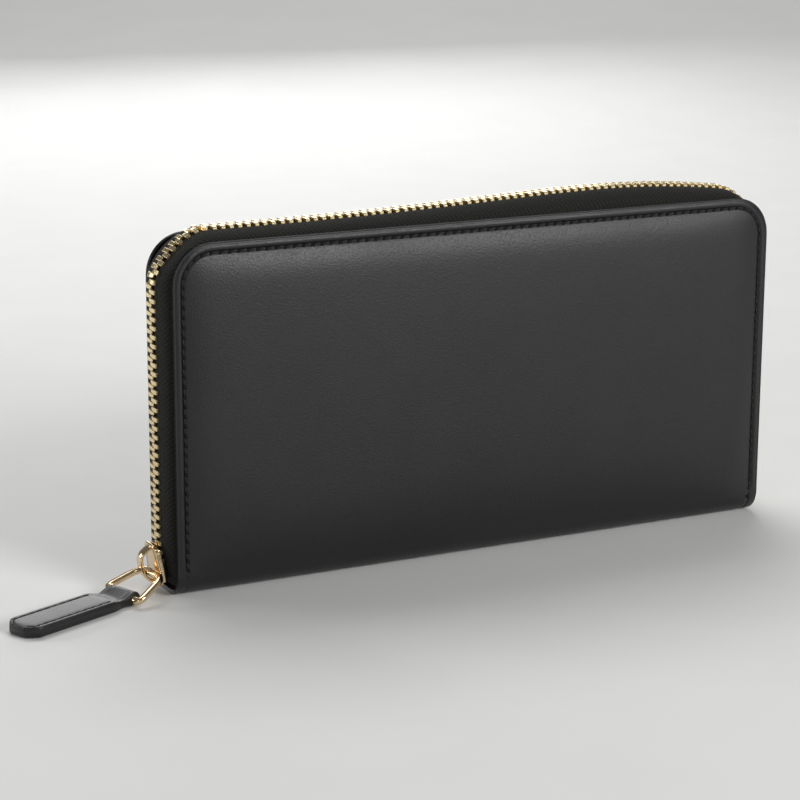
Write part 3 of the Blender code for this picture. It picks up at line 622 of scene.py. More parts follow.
# %% [markdown]
# ## The zip
# The tape is sewn flat between cover and lining, turns at the edge and crosses to the chain. The
# chain is drawn from its real parts: separate metal elements, clamped on each tape's edge, whose
# heads interlock along the middle. Both follow one line, walked from the lower left, over the top
# and down to the lower right. The chain bows up a little along the top, sinks in at the two upper
# corners and curves in at its two lower ends.

# %% Zip line
TAPE_BASE = 3.0 * MM
CHAIN_OUT = 1.6 * MM
END_BEND = 18.0 * MM
END_BEND_RADIUS = 58.0 * MM
CHAIN_BOW = 2.7 * MM
CORNER_DIP = 2.0 * MM
BOW_POWER = math.log(0.5) / math.log(0.75)
ELEMENT_PITCH = 2.5 * MM
CHAIN_HALF_WIDTH = 2.9 * MM
TOP_CORNER = HEIGHT - TOP_RADIUS


def zip_station(distance):
    """A place on the covers' edge: x, z, outward normal and how far the chain is shifted outwards there."""
    side = TOP_CORNER - TAPE_BASE
    turn_length = math.pi / 2 * TOP_RADIUS
    top = 2 * (HALF_LENGTH - TOP_RADIUS)
    total = 2 * (side + turn_length) + top
    mirrored = distance > total / 2
    near = total - distance if mirrored else distance
    straight = HALF_LENGTH - TOP_RADIUS
    if near < side:
        z = TAPE_BASE + near
        shift = -(max(END_BEND - z, 0.0) ** 2) / (2 * END_BEND_RADIUS)
        x, nx, nz = -HALF_LENGTH, -1.0, 0.0
    elif near < side + turn_length:
        angle = math.pi - (near - side) / TOP_RADIUS
        nx, nz = math.cos(angle), math.sin(angle)
        shift = -CORNER_DIP * math.sin(math.pi * (near - side) / turn_length)
        x, z = -straight + TOP_RADIUS * nx, TOP_CORNER + TOP_RADIUS * nz
    else:
        x, z, nx, nz = -straight + near - side - turn_length, HEIGHT, 0.0, 1.0
        place = -x if mirrored else x
        shift = CHAIN_BOW * math.sin(math.pi * ((place + straight) / (2 * straight)) ** BOW_POWER)
    if mirrored:
        return -x, z, -nx, nz, shift
    return x, z, nx, nz, shift


ZIP_TOTAL = 2 * (TOP_CORNER - TAPE_BASE + math.pi / 2 * TOP_RADIUS) + 2 * (HALF_LENGTH - TOP_RADIUS)


def zip_point(station, out, y, share=1.0):
    """A point at a station, so far outside the covers' edge, with its share of the chain's shift."""
    x, z, nx, nz, shift = station
    reach = out + share * shift
    return Vector((x + nx * reach, y, z + nz * reach))


def chain_places(start_height, end_height, pitch, offset=0.0):
    """Places and directions at even steps along the chain itself, between two heights."""
    steps = 1500
    stations = [zip_station(ZIP_TOTAL * step / steps) for step in range(steps + 1)]
    points = [zip_point(station, CHAIN_OUT, 0.0) for station in stations]
    places = []
    travelled = 0.0
    due = offset
    for index in range(1, steps):
        before, here = points[index - 1], points[index]
        left_side = here.x < 0
        if here.z < (start_height if left_side else end_height):
            continue
        travelled += (here - before).length
        if travelled >= due:
            along = (points[index + 1] - before).normalized()
            out = Vector((-along.z, 0.0, along.x))
            places.append((here, along, out))
            due += pitch
    return places


# %% [markdown]
# A sweep draws a section along a row of places. It starts from one ring of points and extrudes it
# again and again, moving each new ring to the next place, and closes its two ends. The UV map is
# filled as it goes, in metres, so that woven patterns keep their scale.


# %% Sweep
def sweep(bm, rings, closed=True, capped=True, material=0):
    """Extrudes a ring of points through places that each hold as many points."""
    laid = bm.loops.layers.uv.get("metres") or bm.loops.layers.uv.new("metres")
    start = [bm.verts.new(point) for point in rings[0]]
    pairs = list(zip(start, start[1:] + (start[:1] if closed else [])))
    edges = [bm.edges.new(pair) for pair in pairs]
    across = [0.0]
    for index in range(len(pairs)):
        after = rings[0][(index + 1) % len(rings[0])]
        across.append(across[-1] + (Vector(after) - Vector(rings[0][index])).length)
    around = dict(zip(start, across))
    along = 0.0
    first_edges, made_faces = edges, []
    for before, ring in zip(rings, rings[1:]):
        step = sum((Vector(b) - Vector(a)).length for a, b in zip(before, ring)) / len(ring)
        grown = bmesh.ops.extrude_edge_only(bm, edges=edges)["geom"]
        faces = [item for item in grown if isinstance(item, bmesh.types.BMFace)]
        new_verts = {item for item in grown if isinstance(item, bmesh.types.BMVert)}
        following = []
        for old in start:
            others = (edge.other_vert(old) for edge in old.link_edges)
            following.append(next(other for other in others if other in new_verts))
        for vertex, point in zip(following, ring):
            vertex.co = point
        around.update(zip(following, across))
        fresh = set(following)
        for face in faces:
            face.material_index = material
            values = [around[loop.vert] for loop in face.loops]
            wraps = closed and max(values) - min(values) > across[-1] / 2
            for loop, value in zip(face.loops, values):
                value += across[-1] if wraps and value < across[-1] / 2 else 0.0
                loop[laid].uv = (along + (step if loop.vert in fresh else 0.0), value)
        along += step
        made_faces += faces
        start = following
        edges = [bm.edges.get(pair) for pair in zip(start, start[1:] + (start[:1] if closed else []))]
    if closed and capped:
        for ring_edges in (first_edges, edges):
            made_faces += bmesh.ops.contextual_create(bm, geom=ring_edges, mat_nr=material)["faces"]
    bmesh.ops.recalc_face_normals(bm, faces=made_faces)
    return made_faces


# %% Zip tapes
TAPE = 0.55 * MM
TAPE_LINE = (
    # out from the covers' edge, distance from the middle, share of the chain's shift
    (-6.5, 8.20, 0.0), (-4.2, 8.20, 0.0), (-1.92, 8.20, 0.0), (-1.0, 8.12, 0.1), (-0.32, 7.84, 0.35),
    (0.3, 7.34, 0.55), (0.8, 6.60, 0.7), (1.16, 5.72, 0.83), (1.44, 4.75, 0.92), (1.56, 3.95, 0.97),
    (1.6, 3.10, 1.0), (1.6, 2.2, 1.0), (1.6, 1.3, 1.0),
)


def tape_ring(station, side):
    """The tape's section at a station: its centre line with half a thickness to each side."""
    outer, inner = [], []
    for index, (out, y, share) in enumerate(TAPE_LINE):
        before = Vector(TAPE_LINE[max(index - 1, 0)][:2])
        after = Vector(TAPE_LINE[min(index + 1, len(TAPE_LINE) - 1)][:2])
        along = (after - before).normalized()
        across = Vector((-along.y, along.x)) * TAPE / 2 / MM
        outer.append(zip_point(station, (out + across.x) * MM, side * (y + across.y) * MM, share))
        inner.append(zip_point(station, (out - across.x) * MM, side * (y - across.y) * MM, share))
    return outer + inner[::-1]


def zip_tape(half, side):
    """One tape: its section swept round all the stations."""
    stations = [zip_station(ZIP_TOTAL * step / 180) for step in range(181)]
    bm = bmesh.new()
    sweep(bm, [tape_ring(station, side) for station in stations])
    return add_piece(f"{half}_tape", bm, [TAPE_CLOTH])


def hang_on_half(piece, half):
    """Hangs a rear zip piece on the rear half. A front piece is only baked in place and follows no half."""
    if half == "front":
        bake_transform(piece)
    else:
        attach(piece, "rear_half")


for half, side in HALVES:
    tape = zip_tape(half, side)
    hang_on_half(tape, half)
    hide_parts(f"{half}_zip_tape")


# %% [markdown]
# Each element is a small block of drawn brass. Its legs grip the tape's corded edge, and its
# narrower head reaches past the middle, between two heads of the other row. The block is a cube,
# cut across to give the head its own width, then bevelled so that its edges catch the light.


# %% Zip elements
ELEMENT_WIDTH = 1.38 * MM
ELEMENT_DEPTH = 2.4 * MM
HEAD_REACH = 0.75 * MM
NECK = 0.95 * MM
HEAD_SHARE = (0.74, 0.86)
LEG_SHARE = 0.90
ELEMENT_BEVEL = 0.16 * MM
CHAIN_STARTS = (9.2 * MM, 6.6 * MM)


def element_mesh():
    """One element, its length across the chain from its head to its legs. X runs along the chain."""
    bm = bmesh.new()
    bmesh.ops.create_cube(bm, size=1.0)
    length = CHAIN_HALF_WIDTH + HEAD_REACH
    bmesh.ops.scale(bm, vec=(ELEMENT_WIDTH, length, ELEMENT_DEPTH), verts=bm.verts)
    bmesh.ops.translate(bm, vec=(0.0, (CHAIN_HALF_WIDTH - HEAD_REACH) / 2, 0.0), verts=bm.verts)
    every = bm.verts[:] + bm.edges[:] + bm.faces[:]
    bmesh.ops.bisect_plane(bm, geom=every, plane_co=(0, NECK, 0), plane_no=(0, 1, 0))
    for vertex in bm.verts:
        if vertex.co.y < NECK / 2:
            vertex.co.x *= HEAD_SHARE[0]
            vertex.co.z *= HEAD_SHARE[1]
        elif vertex.co.y > 2 * NECK:
            vertex.co.z *= LEG_SHARE
    bmesh.ops.bevel(
        bm, geom=bm.edges[:], offset=ELEMENT_BEVEL, segments=1, profile=0.5, affect="EDGES", material=-1,
    )
    return bm


def zip_elements(half, side):
    """All the elements of one row."""
    pattern = bpy.data.meshes.new("element")
    single = element_mesh()
    single.to_mesh(pattern)
    single.free()
    bm = bmesh.new()
    offset = 0.0 if side == FRONT else ELEMENT_PITCH / 2
    places = chain_places(*CHAIN_STARTS, ELEMENT_PITCH, offset)
    for place, along, out in places:
        before = len(bm.verts)
        bm.from_mesh(pattern)
        bm.verts.ensure_lookup_table()
        fresh = bm.verts[before:]
        across = Vector((0.0, side, 0.0))
        turn = Matrix((along, across, out)).transposed().to_4x4()
        bmesh.ops.transform(bm, matrix=Matrix.Translation(place) @ turn, verts=fresh)
    bpy.data.meshes.remove(pattern)
    bmesh.ops.recalc_face_normals(bm, faces=bm.faces)
    return add_piece(f"{half}_zip_elements", bm, [TEETH_GOLD], smooth=False)


for half, side in HALVES:
    row = zip_elements(half, side)
    hang_on_half(row, half)
    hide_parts(f"{half}_zip_teeth")

# %% [markdown]
# ## The slider and its pull
# The slider is a zinc casting: two plates, held apart by a post at the end where the rows part,
# with a lip along each side that keeps the elements in and leaves a slot for the tape. Each part
# is a cube, cut across where the outline changes, moved to that outline and then bevelled.

# %% Slider's own directions
SLIDER_HEIGHT = 8.5 * MM
FALL = END_BEND - SLIDER_HEIGHT
LEAN = math.atan2(FALL, END_BEND_RADIUS)
SLIDER_PLACE = Vector((-HALF_LENGTH - CHAIN_OUT + FALL**2 / (2 * END_BEND_RADIUS), 0.0, SLIDER_HEIGHT))
SLIDER_TURN = Matrix.Translation(SLIDER_PLACE) @ Matrix.Rotation(-LEAN, 4, "Y")
PLATE = 0.8 * MM
PLATE_MIDDLE = 2.4 * MM
WIDE = 4.9 * MM
SLIDER_HALF = 6 * MM
LIP_NEAR, LIP_FAR = 0.95 * MM, 2.3 * MM
LIP_INNER = 4.0 * MM
LIP_LOW, LIP_HIGH = -4.6 * MM, 4.8 * MM
POST_LOW = (-2.2 * MM, -0.8 * MM, -5.2 * MM)
POST_HIGH = (2.2 * MM, 0.8 * MM, -2.4 * MM)
# heights over the slider's middle, and the half width of a plate there
PLATE_OUTLINE = ((-6.0, 0.66), (-5.2, 0.92), (-4.2, 1.0), (-1.0, 1.0), (3.6, 0.80), (5.2, 0.76), (6.0, 0.52))


def bevelled_block(bm, low, high, bevel, cuts=(), shape=None, material=0, segments=2):
    """A cube between two corners, cut across at heights, moved by a shape function and bevelled."""
    own = bmesh.new()
    size = Vector(high) - Vector(low)
    centre = (Vector(high) + Vector(low)) / 2
    bmesh.ops.create_cube(own, size=1.0, matrix=Matrix.Translation(centre) @ Matrix.Diagonal((*size, 1.0)))
    for height in cuts:
        every = own.verts[:] + own.edges[:] + own.faces[:]
        bmesh.ops.bisect_plane(own, geom=every, plane_co=(0, 0, height), plane_no=(0, 0, 1))
    if shape:
        for vertex in own.verts:
            vertex.co = shape(vertex.co)
    bmesh.ops.bevel(
        own, geom=own.edges[:], offset=bevel, segments=segments, profile=0.5, affect="EDGES", material=-1,
        clamp_overlap=True,
    )
    bmesh.ops.recalc_face_normals(own, faces=own.faces)
    for face in own.faces:
        face.material_index = material
    part = bpy.data.meshes.new("block")
    own.to_mesh(part)
    own.free()
    bm.from_mesh(part)
    bpy.data.meshes.remove(part)


def outline_share(height):
    """The share of the full half width that a plate has at a height."""
    height = height / MM
    for (low, near), (high, far) in zip(PLATE_OUTLINE, PLATE_OUTLINE[1:]):
        if height <= high + 0.001:
            return near + (far - near) * max(height - low, 0.0) / (high - low)
    return PLATE_OUTLINE[-1][1]


def smooth_line(points, steps):
    """Points on a smooth curve through the given ones."""
    points = [Vector(point) for point in points]
    line = []
    for index in range(len(points) - 1):
        before = points[max(index - 1, 0)]
        start, end = points[index], points[index + 1]
        after = points[min(index + 2, len(points) - 1)]
        for step in range(steps):
            t = step / steps
            pull = 2 * start + (end - before) * t + (2 * before - 5 * start + 4 * end - after) * t**2
            line.append((pull + (3 * start - before - 3 * end + after) * t**3) / 2)
    return line + [points[-1]]


# %% Slider body
def within_outline(point):
    """A plate's point, drawn in to the outline."""
    return Vector((point.x, point.y * outline_share(point.z), point.z))


def along_plate_edge(point):
    """A lip's point, moved in as far as the plate's edge is there."""
    inwards = math.copysign(WIDE * (1 - outline_share(point.z)), point.y)
    return Vector((point.x, point.y - inwards, point.z))


def slider_body():
    """Two plates with two lips each, and the post between them."""
    bm = bmesh.new()
    cuts = [height * MM for height, _ in PLATE_OUTLINE[1:-1]]
    for side in (-1, 1):
        middle = side * PLATE_MIDDLE
        low = (middle - PLATE / 2, -WIDE, -SLIDER_HALF)
        high = (middle + PLATE / 2, WIDE, SLIDER_HALF)
        bevelled_block(bm, low, high, 0.30 * MM, cuts, within_outline)
        for edge in (-1, 1):
            reach = sorted((side * LIP_NEAR, side * LIP_FAR))
            low = (reach[0], min(edge * LIP_INNER, edge * WIDE), LIP_LOW)
            high = (reach[1], max(edge * LIP_INNER, edge * WIDE), LIP_HIGH)
            bevelled_block(bm, low, high, 0.20 * MM, cuts[1:4], along_plate_edge)
    bevelled_block(bm, POST_LOW, POST_HIGH, 0.25 * MM)
    bmesh.ops.transform(bm, matrix=SLIDER_TURN, verts=bm.verts)
    return add_piece("slider_casting", bm, [PULL_GOLD])


slider = slider_body()
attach(slider, "zip_slider")
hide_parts("slider_body")

# %% Bridge
BRIDGE_WIDTH = 3.4 * MM
STRAP = 1.0 * MM
FOOT = -(PLATE_MIDDLE + PLATE / 2) - 0.3 * MM
CREST = FOOT - 4.0 * MM + STRAP
SLIDER_LENGTH = 12.0 * MM
BRIDGE_LINE = (
    # share of the way from foot to crest, height as a share of the slider's length
    (-0.10, 0.42), (0.30, 0.375), (0.80, 0.29), (1.0, 0.17),
    (1.0, 0.0), (0.93, -0.15), (0.62, -0.30), (-0.10, -0.43),
)


def strap_ring(place, along, across, half_width, half_thick):
    """A flat oval section: nearly a rectangle, with round sides."""
    out = along.cross(across).normalized()
    ring = []
    for step in range(14):
        angle = 2 * math.pi * step / 14
        c, s = math.cos(angle), math.sin(angle)
        square = (abs(c) ** 4 + abs(s) ** 4) ** -0.25
        ring.append(place + across * half_width * c * square + out * half_thick * s * square)
    return ring


def strap_along(bm, line, across, half_width, half_thick, closed=False):
    """Sweeps a flat strap along a line of points."""
    rings = []
    count = len(line)
    for index, place in enumerate(line):
        before = line[index - 1] if closed or index else place
        after = line[(index + 1) % count] if closed or index < count - 1 else place
        along = (after - before).normalized()
        rings.append(strap_ring(place, along, across, half_width, half_thick))
    if closed:
        rings.append(rings[0])
    sweep(bm, rings, capped=not closed)
    if closed:
        bmesh.ops.remove_doubles(bm, verts=bm.verts, dist=0.001 * MM)
        bmesh.ops.recalc_face_normals(bm, faces=bm.faces)


def bridge():
    """The strap on the slider's outer plate that holds the ring."""
    bm = bmesh.new()
    points = [(FOOT + (CREST - FOOT) * share, 0.0, height * SLIDER_LENGTH) for share, height in BRIDGE_LINE]
    strap_along(bm, smooth_line(points, 5), Vector((0.0, 1.0, 0.0)), BRIDGE_WIDTH / 2, STRAP / 2)
    bmesh.ops.transform(bm, matrix=SLIDER_TURN, verts=bm.verts)
    return add_piece("slider_loop_bridge", bm, [PULL_GOLD])


strap = bridge()
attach(strap, "zip_slider")
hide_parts("slider_bridge")

# %% [markdown]
# The pull is a cast ring, narrow where it passes through the bridge and wide where the leather
# folds round it. It lies tipped, with its wide side near the floor. Its line is a trapezium with
# rounded corners, and a flat oval section is swept round it.

# %% Pull ring
RING_YAW = math.radians(11.0)
TAB_YAW = math.radians(23.0)
RING_BAR = Vector((-100.129, 0.0, 6.335)) * MM
TAB_BAR = Vector((-108.950, -4.160, 2.0)) * MM
RING_LENGTH = 10.4 * MM
RING_SHIFT = 2.4 * MM
RING_PITCH = math.asin((RING_BAR.z - TAB_BAR.z) / RING_LENGTH)
RING_WIRE = 1.8 * MM
NARROW_HALF = 5.4 * MM
WIDE_HALF = 8.5 * MM


def ring_line():
    """The ring's middle line: along it, and across it."""
    corners = [(0.0, NARROW_HALF, 3.2), (0.0, -NARROW_HALF, 3.2)]
    corners += [(RING_LENGTH, -WIDE_HALF, 2.2), (RING_LENGTH, WIDE_HALF, 2.2)]
    line = []
    for index, (along, across, reach) in enumerate(corners):
        here = Vector((along, across))
        before = (Vector(corners[index - 1][:2]) - here).normalized()
        after = (Vector(corners[(index + 1) % 4][:2]) - here).normalized()
        start, end = here + before * reach * MM, here + after * reach * MM
        for step in range(9):
            t = step / 8
            line.append(start * (1 - t) ** 2 + here * 2 * t * (1 - t) + end * t**2)
    return line


def pull_ring():
    """The ring, tipped and turned, with a flat strap for its wire."""
    ahead = Vector((-math.cos(RING_YAW), -math.sin(RING_YAW), 0.0)) * math.cos(RING_PITCH)
    ahead.z = -math.sin(RING_PITCH)
    aside = Vector((math.sin(RING_YAW), -math.cos(RING_YAW), 0.0))
    upright = ahead.cross(aside).normalized()
    line = [RING_BAR + ahead * point.x + aside * (point.y + RING_SHIFT) for point in ring_line()]
    bm = bmesh.new()
    strap_along(bm, line, upright, 0.85 * MM, 1.12 * RING_WIRE / 2, closed=True)
    return add_piece("pull_ring", bm, [PULL_GOLD])


ring = pull_ring()
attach(ring, "loop")
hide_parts("pull_loop")

# %% [markdown]
# ### Leather tab
# One strip of glazed calf is folded round the ring's wide bar and glued back to back over a
# filler, then sewn along both long edges. It is highest over the bar, dips where the two layers
# meet, and then runs flat to a clipped end. Its cut sides are painted black. The strip is swept
# from cross sections, whose width and height are read from a short table.

# %% Tab shape
TAB_SECTIONS = (
    # distance from the bar, half width, underside, top: all in millimetres
    (-1.80, 4.9, 1.85, 2.15), (-1.66, 5.0, 1.25, 2.75), (-1.27, 5.05, 0.72, 3.28), (-0.69, 5.1, 0.34, 3.66),
    (0.0, 5.1, 0.2, 3.8), (0.9, 5.15, 0.2, 3.66), (1.9, 5.2, 0.2, 3.30), (2.9, 5.2, 0.2, 2.86),
    (3.9, 5.15, 0.25, 2.52), (5.0, 5.2, 0.25, 2.46), (6.1, 5.4, 0.2, 2.72), (7.2, 5.7, 0.2, 3.02),
    (8.4, 5.85, 0.2, 3.16), (10.0, 5.9, 0.2, 3.2), (14.0, 5.9, 0.2, 3.2), (19.0, 5.9, 0.2, 3.2),
    (24.0, 5.9, 0.2, 3.2), (29.0, 5.9, 0.2, 3.2), (32.0, 5.9, 0.2, 3.2), (34.2, 5.9, 0.2, 3.2),
    (34.8, 5.75, 0.2, 3.2), (36.0, 4.7, 0.2, 3.18), (37.1, 3.6, 0.22, 3.12), (37.45, 3.2, 0.35, 2.95),
    (37.6, 3.0, 0.6, 2.6),
)
TAB_HALF = 5.9
SEAM_FROM_EDGE = 1.55
TAB_SEAM_START = 9.4
TAB_SEAM_PITCH = 2.75
TAB_STITCHES = 10
CLIP_STITCH = (35.8, 3.3)


def tab_frame():
    """The tab's directions, along and across it, and where it starts on the floor."""
    ahead = Vector((-math.cos(TAB_YAW), -math.sin(TAB_YAW), 0.0))
    aside = Vector((math.sin(TAB_YAW), -math.cos(TAB_YAW), 0.0))
    return ahead, aside, Vector((TAB_BAR.x, TAB_BAR.y, 0.0))


def tab_ring(distance, half, low, high):
    """The tab's section: rounded sides, and a shallow furrow along each seam."""
    ahead, aside, start = tab_frame()
    soft = min(0.45, (high - low) / 3)
    side = [(0.0, low + soft), (0.0, high - soft), (0.14, high - 0.4 * soft), (0.45, high)]
    side += [(SEAM_FROM_EDGE - 0.55, high), (SEAM_FROM_EDGE, high - 0.13)]
    side += [(SEAM_FROM_EDGE + 0.6, high), (2.9, high + 0.04)]
    outline = [(half - inset, z) for inset, z in side] + [(inset - half, z) for inset, z in side[::-1]]
    outline += [(0.45 - half, low), (half - 0.45, low)]
    return [start + ahead * distance * MM + aside * y * MM + Vector((0, 0, z * MM)) for y, z in outline]


def leather_tab():
    """The tab's body, its cut sides in edge paint."""
    bm = bmesh.new()
    faces = sweep(bm, [tab_ring(*section) for section in TAB_SECTIONS])
    bm.normal_update()
    for face in faces:
        if abs(face.normal.z) < 0.5 and face.calc_center_median().z < 2.75 * MM:
            face.material_index = 1
    return add_piece("leather_pull_tab", bm, [TAB_CALF, EDGE_PAINT])


def tab_seam():
    """Stitches along both long edges, turning with the clipped corners, with a near-black ball of painted
    shadow at each needle hole along the edges.
    """
    ahead, aside, start = tab_frame()
    bm = bmesh.new()
    # each stitch along the edges is followed by a small near-black ball: painted shadow in its needle hole
    stitch, hole_shadow = (0.0, (1.15, 0.30, 0.26), 0), (TAB_SEAM_PITCH / 2, (0.45, 0.34, 0.12), 1)
    for edge in (-1, 1):
        y = edge * (TAB_HALF - SEAM_FROM_EDGE)
        for index in range(TAB_STITCHES):
            distance = TAB_SEAM_START + index * TAB_SEAM_PITCH
            for shift, sizes, material in (stitch, hole_shadow):
                place = start + ahead * (distance + shift) * MM + aside * y * MM + Vector((0, 0, 3.12 * MM))
                slant = ahead + 0.1 * edge * aside
                stretched = axes_matrix(place, slant, (0, 0, 1), [size * MM for size in sizes])
                add_ball(bm, stretched, 8, 5, material)
        far, out = CLIP_STITCH
        place = start + ahead * far * MM + aside * edge * out * MM + Vector((0, 0, 3.10 * MM))
        slant = ahead - 1.0 * edge * aside
        add_ball(bm, axes_matrix(place, slant, (0, 0, 1), (1.1 * MM, 0.30 * MM, 0.26 * MM)))
    return add_piece("tab_stitches", bm, [THREAD, NEEDLE_HOLE_SHADOW])


tab = leather_tab()
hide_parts("pull_tab")
tab_stitches = tab_seam()
for piece in (tab, tab_stitches):
    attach(piece, "tab")
print("tab", TAB_SECTIONS[-1][0], "mm from its bar")

# %% Zip end stop
stop_low, stop_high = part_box("zip_end_stop")
bm = bmesh.new()
bevelled_block(bm, stop_low, stop_high, 0.35 * MM)
end_stop = add_piece("zip_stop_clamp", bm, [TEETH_GOLD])
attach(end_stop, "rear_half")
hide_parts("zip_end_stop")

# %% [markdown]
# ## Inside
# Under each cover's hide lie a thin foam pad, a sheet of stiff board and a twill lining. The front
# half carries a leather card panel with four overlapping strips. Between the halves hangs a coin
# pocket with its own small zip, held on both sides by folded cloth gussets.

# %% Foam, board and lining
BOARD = finish("grey_bookbinding_board", "#8d8578", 0.9)[0]
FOAM = finish("polyurethane_foam", "#b9b8b0", 0.95)[0]


def rounded_panel(low, high, radius, steps=(40, 20)):
    """A flat grid in the X-Z plane between two corners, its upper corners rounded, with its UV map."""
    bm = bmesh.new()
    bmesh.ops.create_grid(bm, x_segments=steps[0], y_segments=steps[1], size=0.5)
    laid = bm.loops.layers.uv.new("metres")
    width = high.x - low.x
    for vertex in bm.verts:
        x = low.x + (vertex.co.x + 0.5) * width
        share = vertex.co.y + 0.5
        reach = min(x - low.x, high.x - x)
        top = high.z
        if reach < radius:
            top -= radius - math.sqrt(max(radius**2 - (radius - reach) ** 2, 0.0))
        vertex.co = Vector((x, 0.0, low.z + (top - low.z) * share))
    for face in bm.faces:
        for loop in face.loops:
            loop[laid].uv = (loop.vert.co.x, loop.vert.co.z)
    return bm


def give_thickness(piece, thickness):
    """A wall of a thickness, half to each side of the sheet."""
    wall = piece.modifiers.new("thickness", "SOLIDIFY")
    wall.thickness = thickness
    wall.offset = 0.0


def foam_pad(half, side):
    """A lens of foam: flat against the board, and domed to the inside of the hide."""
    low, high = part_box(f"{half}_padding")
    back = side * (HALF_THICKNESS - LEATHER - 0.2 * MM)
    bm = bmesh.new()
    for front in (False, True):
        grid = rounded_panel(low, high, 8 * MM, (44, 22))
        for vertex in grid.verts:
            x, z = vertex.co.x, vertex.co.z
            dome = crown_height(HALF_LENGTH - abs(x), HEIGHT - z, z - FOLD_RADIUS) - 0.1 * MM
            rim = min(x - low.x, high.x - x, z - low.z, high.z - z) < 0.01 * MM
            vertex.co.y = back + (side * max(dome, 0.0) if front and not rim else 0.0)
        part = bpy.data.meshes.new("pad")
        grid.to_mesh(part)
        grid.free()
        bm.from_mesh(part)
        bpy.data.meshes.remove(part)
    bmesh.ops.remove_doubles(bm, verts=bm.verts, dist=0.01 * MM)
    bmesh.ops.recalc_face_normals(bm, faces=bm.faces)
    return add_piece(f"{half}_foam_pad", bm, [FOAM])


for half, side in HALVES:
    pad = foam_pad(half, side)
    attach(pad, BODY_OF[half])
    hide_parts(f"{half}_padding")
    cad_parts[f"{half}_board"].data.materials[0] = BOARD
    low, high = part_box(f"{half}_lining")
    bm = rounded_panel(low, high, 9.3 * MM)
    middle = (low.y + high.y) / 2
    for vertex in bm.verts:
        ripple = math.sin(vertex.co.x * 95) * math.sin(vertex.co.z * 120 + vertex.co.x * 40)
        vertex.co.y = middle + 0.08 * MM * ripple
    cloth = add_piece(f"{half}_twill_lining", bm, [LINING_CLOTH])
    give_thickness(cloth, 0.4 * MM)
    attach(cloth, BODY_OF[half])
    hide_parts(f"{half}_lining")

# narrower than its solid, to lie between the rounder folds of the drawn hide
SPINE_CLOTH_WIDTH = 11.4 * MM
low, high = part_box("spine_lining")
bm = bmesh.new()
bmesh.ops.create_grid(bm, x_segments=40, y_segments=6, size=0.5)
laid = bm.loops.layers.uv.new("metres")
for vertex in bm.verts:
    x, y = vertex.co.x * (high.x - low.x), vertex.co.y * SPINE_CLOTH_WIDTH
    vertex.co = Vector((x, y, (low.z + high.z) / 2 + 0.06 * MM * math.sin(x * 140)))
for face in bm.faces:
    for loop in face.loops:
        loop[laid].uv = loop.vert.co.xy
spine_cloth = add_piece("spine_twill_lining", bm, [LINING_CLOTH])
give_thickness(spine_cloth, 0.4 * MM)
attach(spine_cloth, "rear_half")
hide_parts("spine_lining")

# %% [markdown]
# ### Card panel
# The panel and its four strips are thin split calf. Each strip's upper edge is turned in and sewn,
# and a seam down the middle parts the left pockets from the right ones. Worn pockets sag a little
# between their seams, so each strip's edge dips by a fraction of a millimetre.

# %% Card panel and strips
CARD_NAMES = ("card_panel", "card_strip_1", "card_strip_2", "card_strip_3", "card_strip_4")
CARD_STITCH = (0.85 * MM, 0.20 * MM, 0.17 * MM)
CARD_PITCH = 2.4 * MM


def seam_row(bm, start, end):
    """A straight row of stitches on a card strip."""
    start, end = Vector(start), Vector(end)
    along = (end - start).normalized()
    count = round((end - start).length / CARD_PITCH)
    for index in range(count):
        place = start.lerp(end, (index + 0.5) / count)
        add_ball(bm, axes_matrix(place, along, (0, 1, 0), CARD_STITCH), 6, 4)


def card_layer(name):
    """One layer of the card panel, sagging a little at its top, with its rows of stitches."""
    low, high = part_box(name)
    radius = 4 * MM if name == "card_panel" else 1.5 * MM
    bm = rounded_panel(low, high, radius, (48, 16))
    middle = (low.y + high.y) / 2
    for vertex in bm.verts:
        x, z = vertex.co.x, vertex.co.z
        pocket = abs(math.sin(math.pi * x / high.x))
        near_top = max(0.0, 1 - (high.z - z) / (10 * MM))
        vertex.co.z -= 0.55 * MM * pocket * near_top
        vertex.co.y = middle + 0.06 * MM * pocket * near_top
    layer = add_piece(f"{name}_leather", bm, [POCKET_CALF])
    give_thickness(layer, 0.42 * MM)
    stitches = bmesh.new()
    face = high.y - 0.02 * MM
    inset = 2.2 * MM
    level = high.z - inset
    seam_row(stitches, (low.x + 3 * MM, face, level), (-1 * MM, face, level))
    seam_row(stitches, (1 * MM, face, level), (high.x - 3 * MM, face, level))
    middle_top = high.z - 0.9 * MM
    seam_row(stitches, (0, face, middle_top - 11 * MM), (0, face, middle_top))
    sewn = add_piece(f"{name}_stitches", stitches, [THREAD])
    for piece in (layer, sewn):
        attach(piece, "front_half")
    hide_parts(name)


for name in CARD_NAMES:
    card_layer(name)

# %% [markdown]
# ### Coin pocket
# A flat bag of twill, folded at the bottom and open at the top, where a small nylon-backed metal
# zip is sewn in. The bag is a box without its top, its walls given the cloth's thickness.

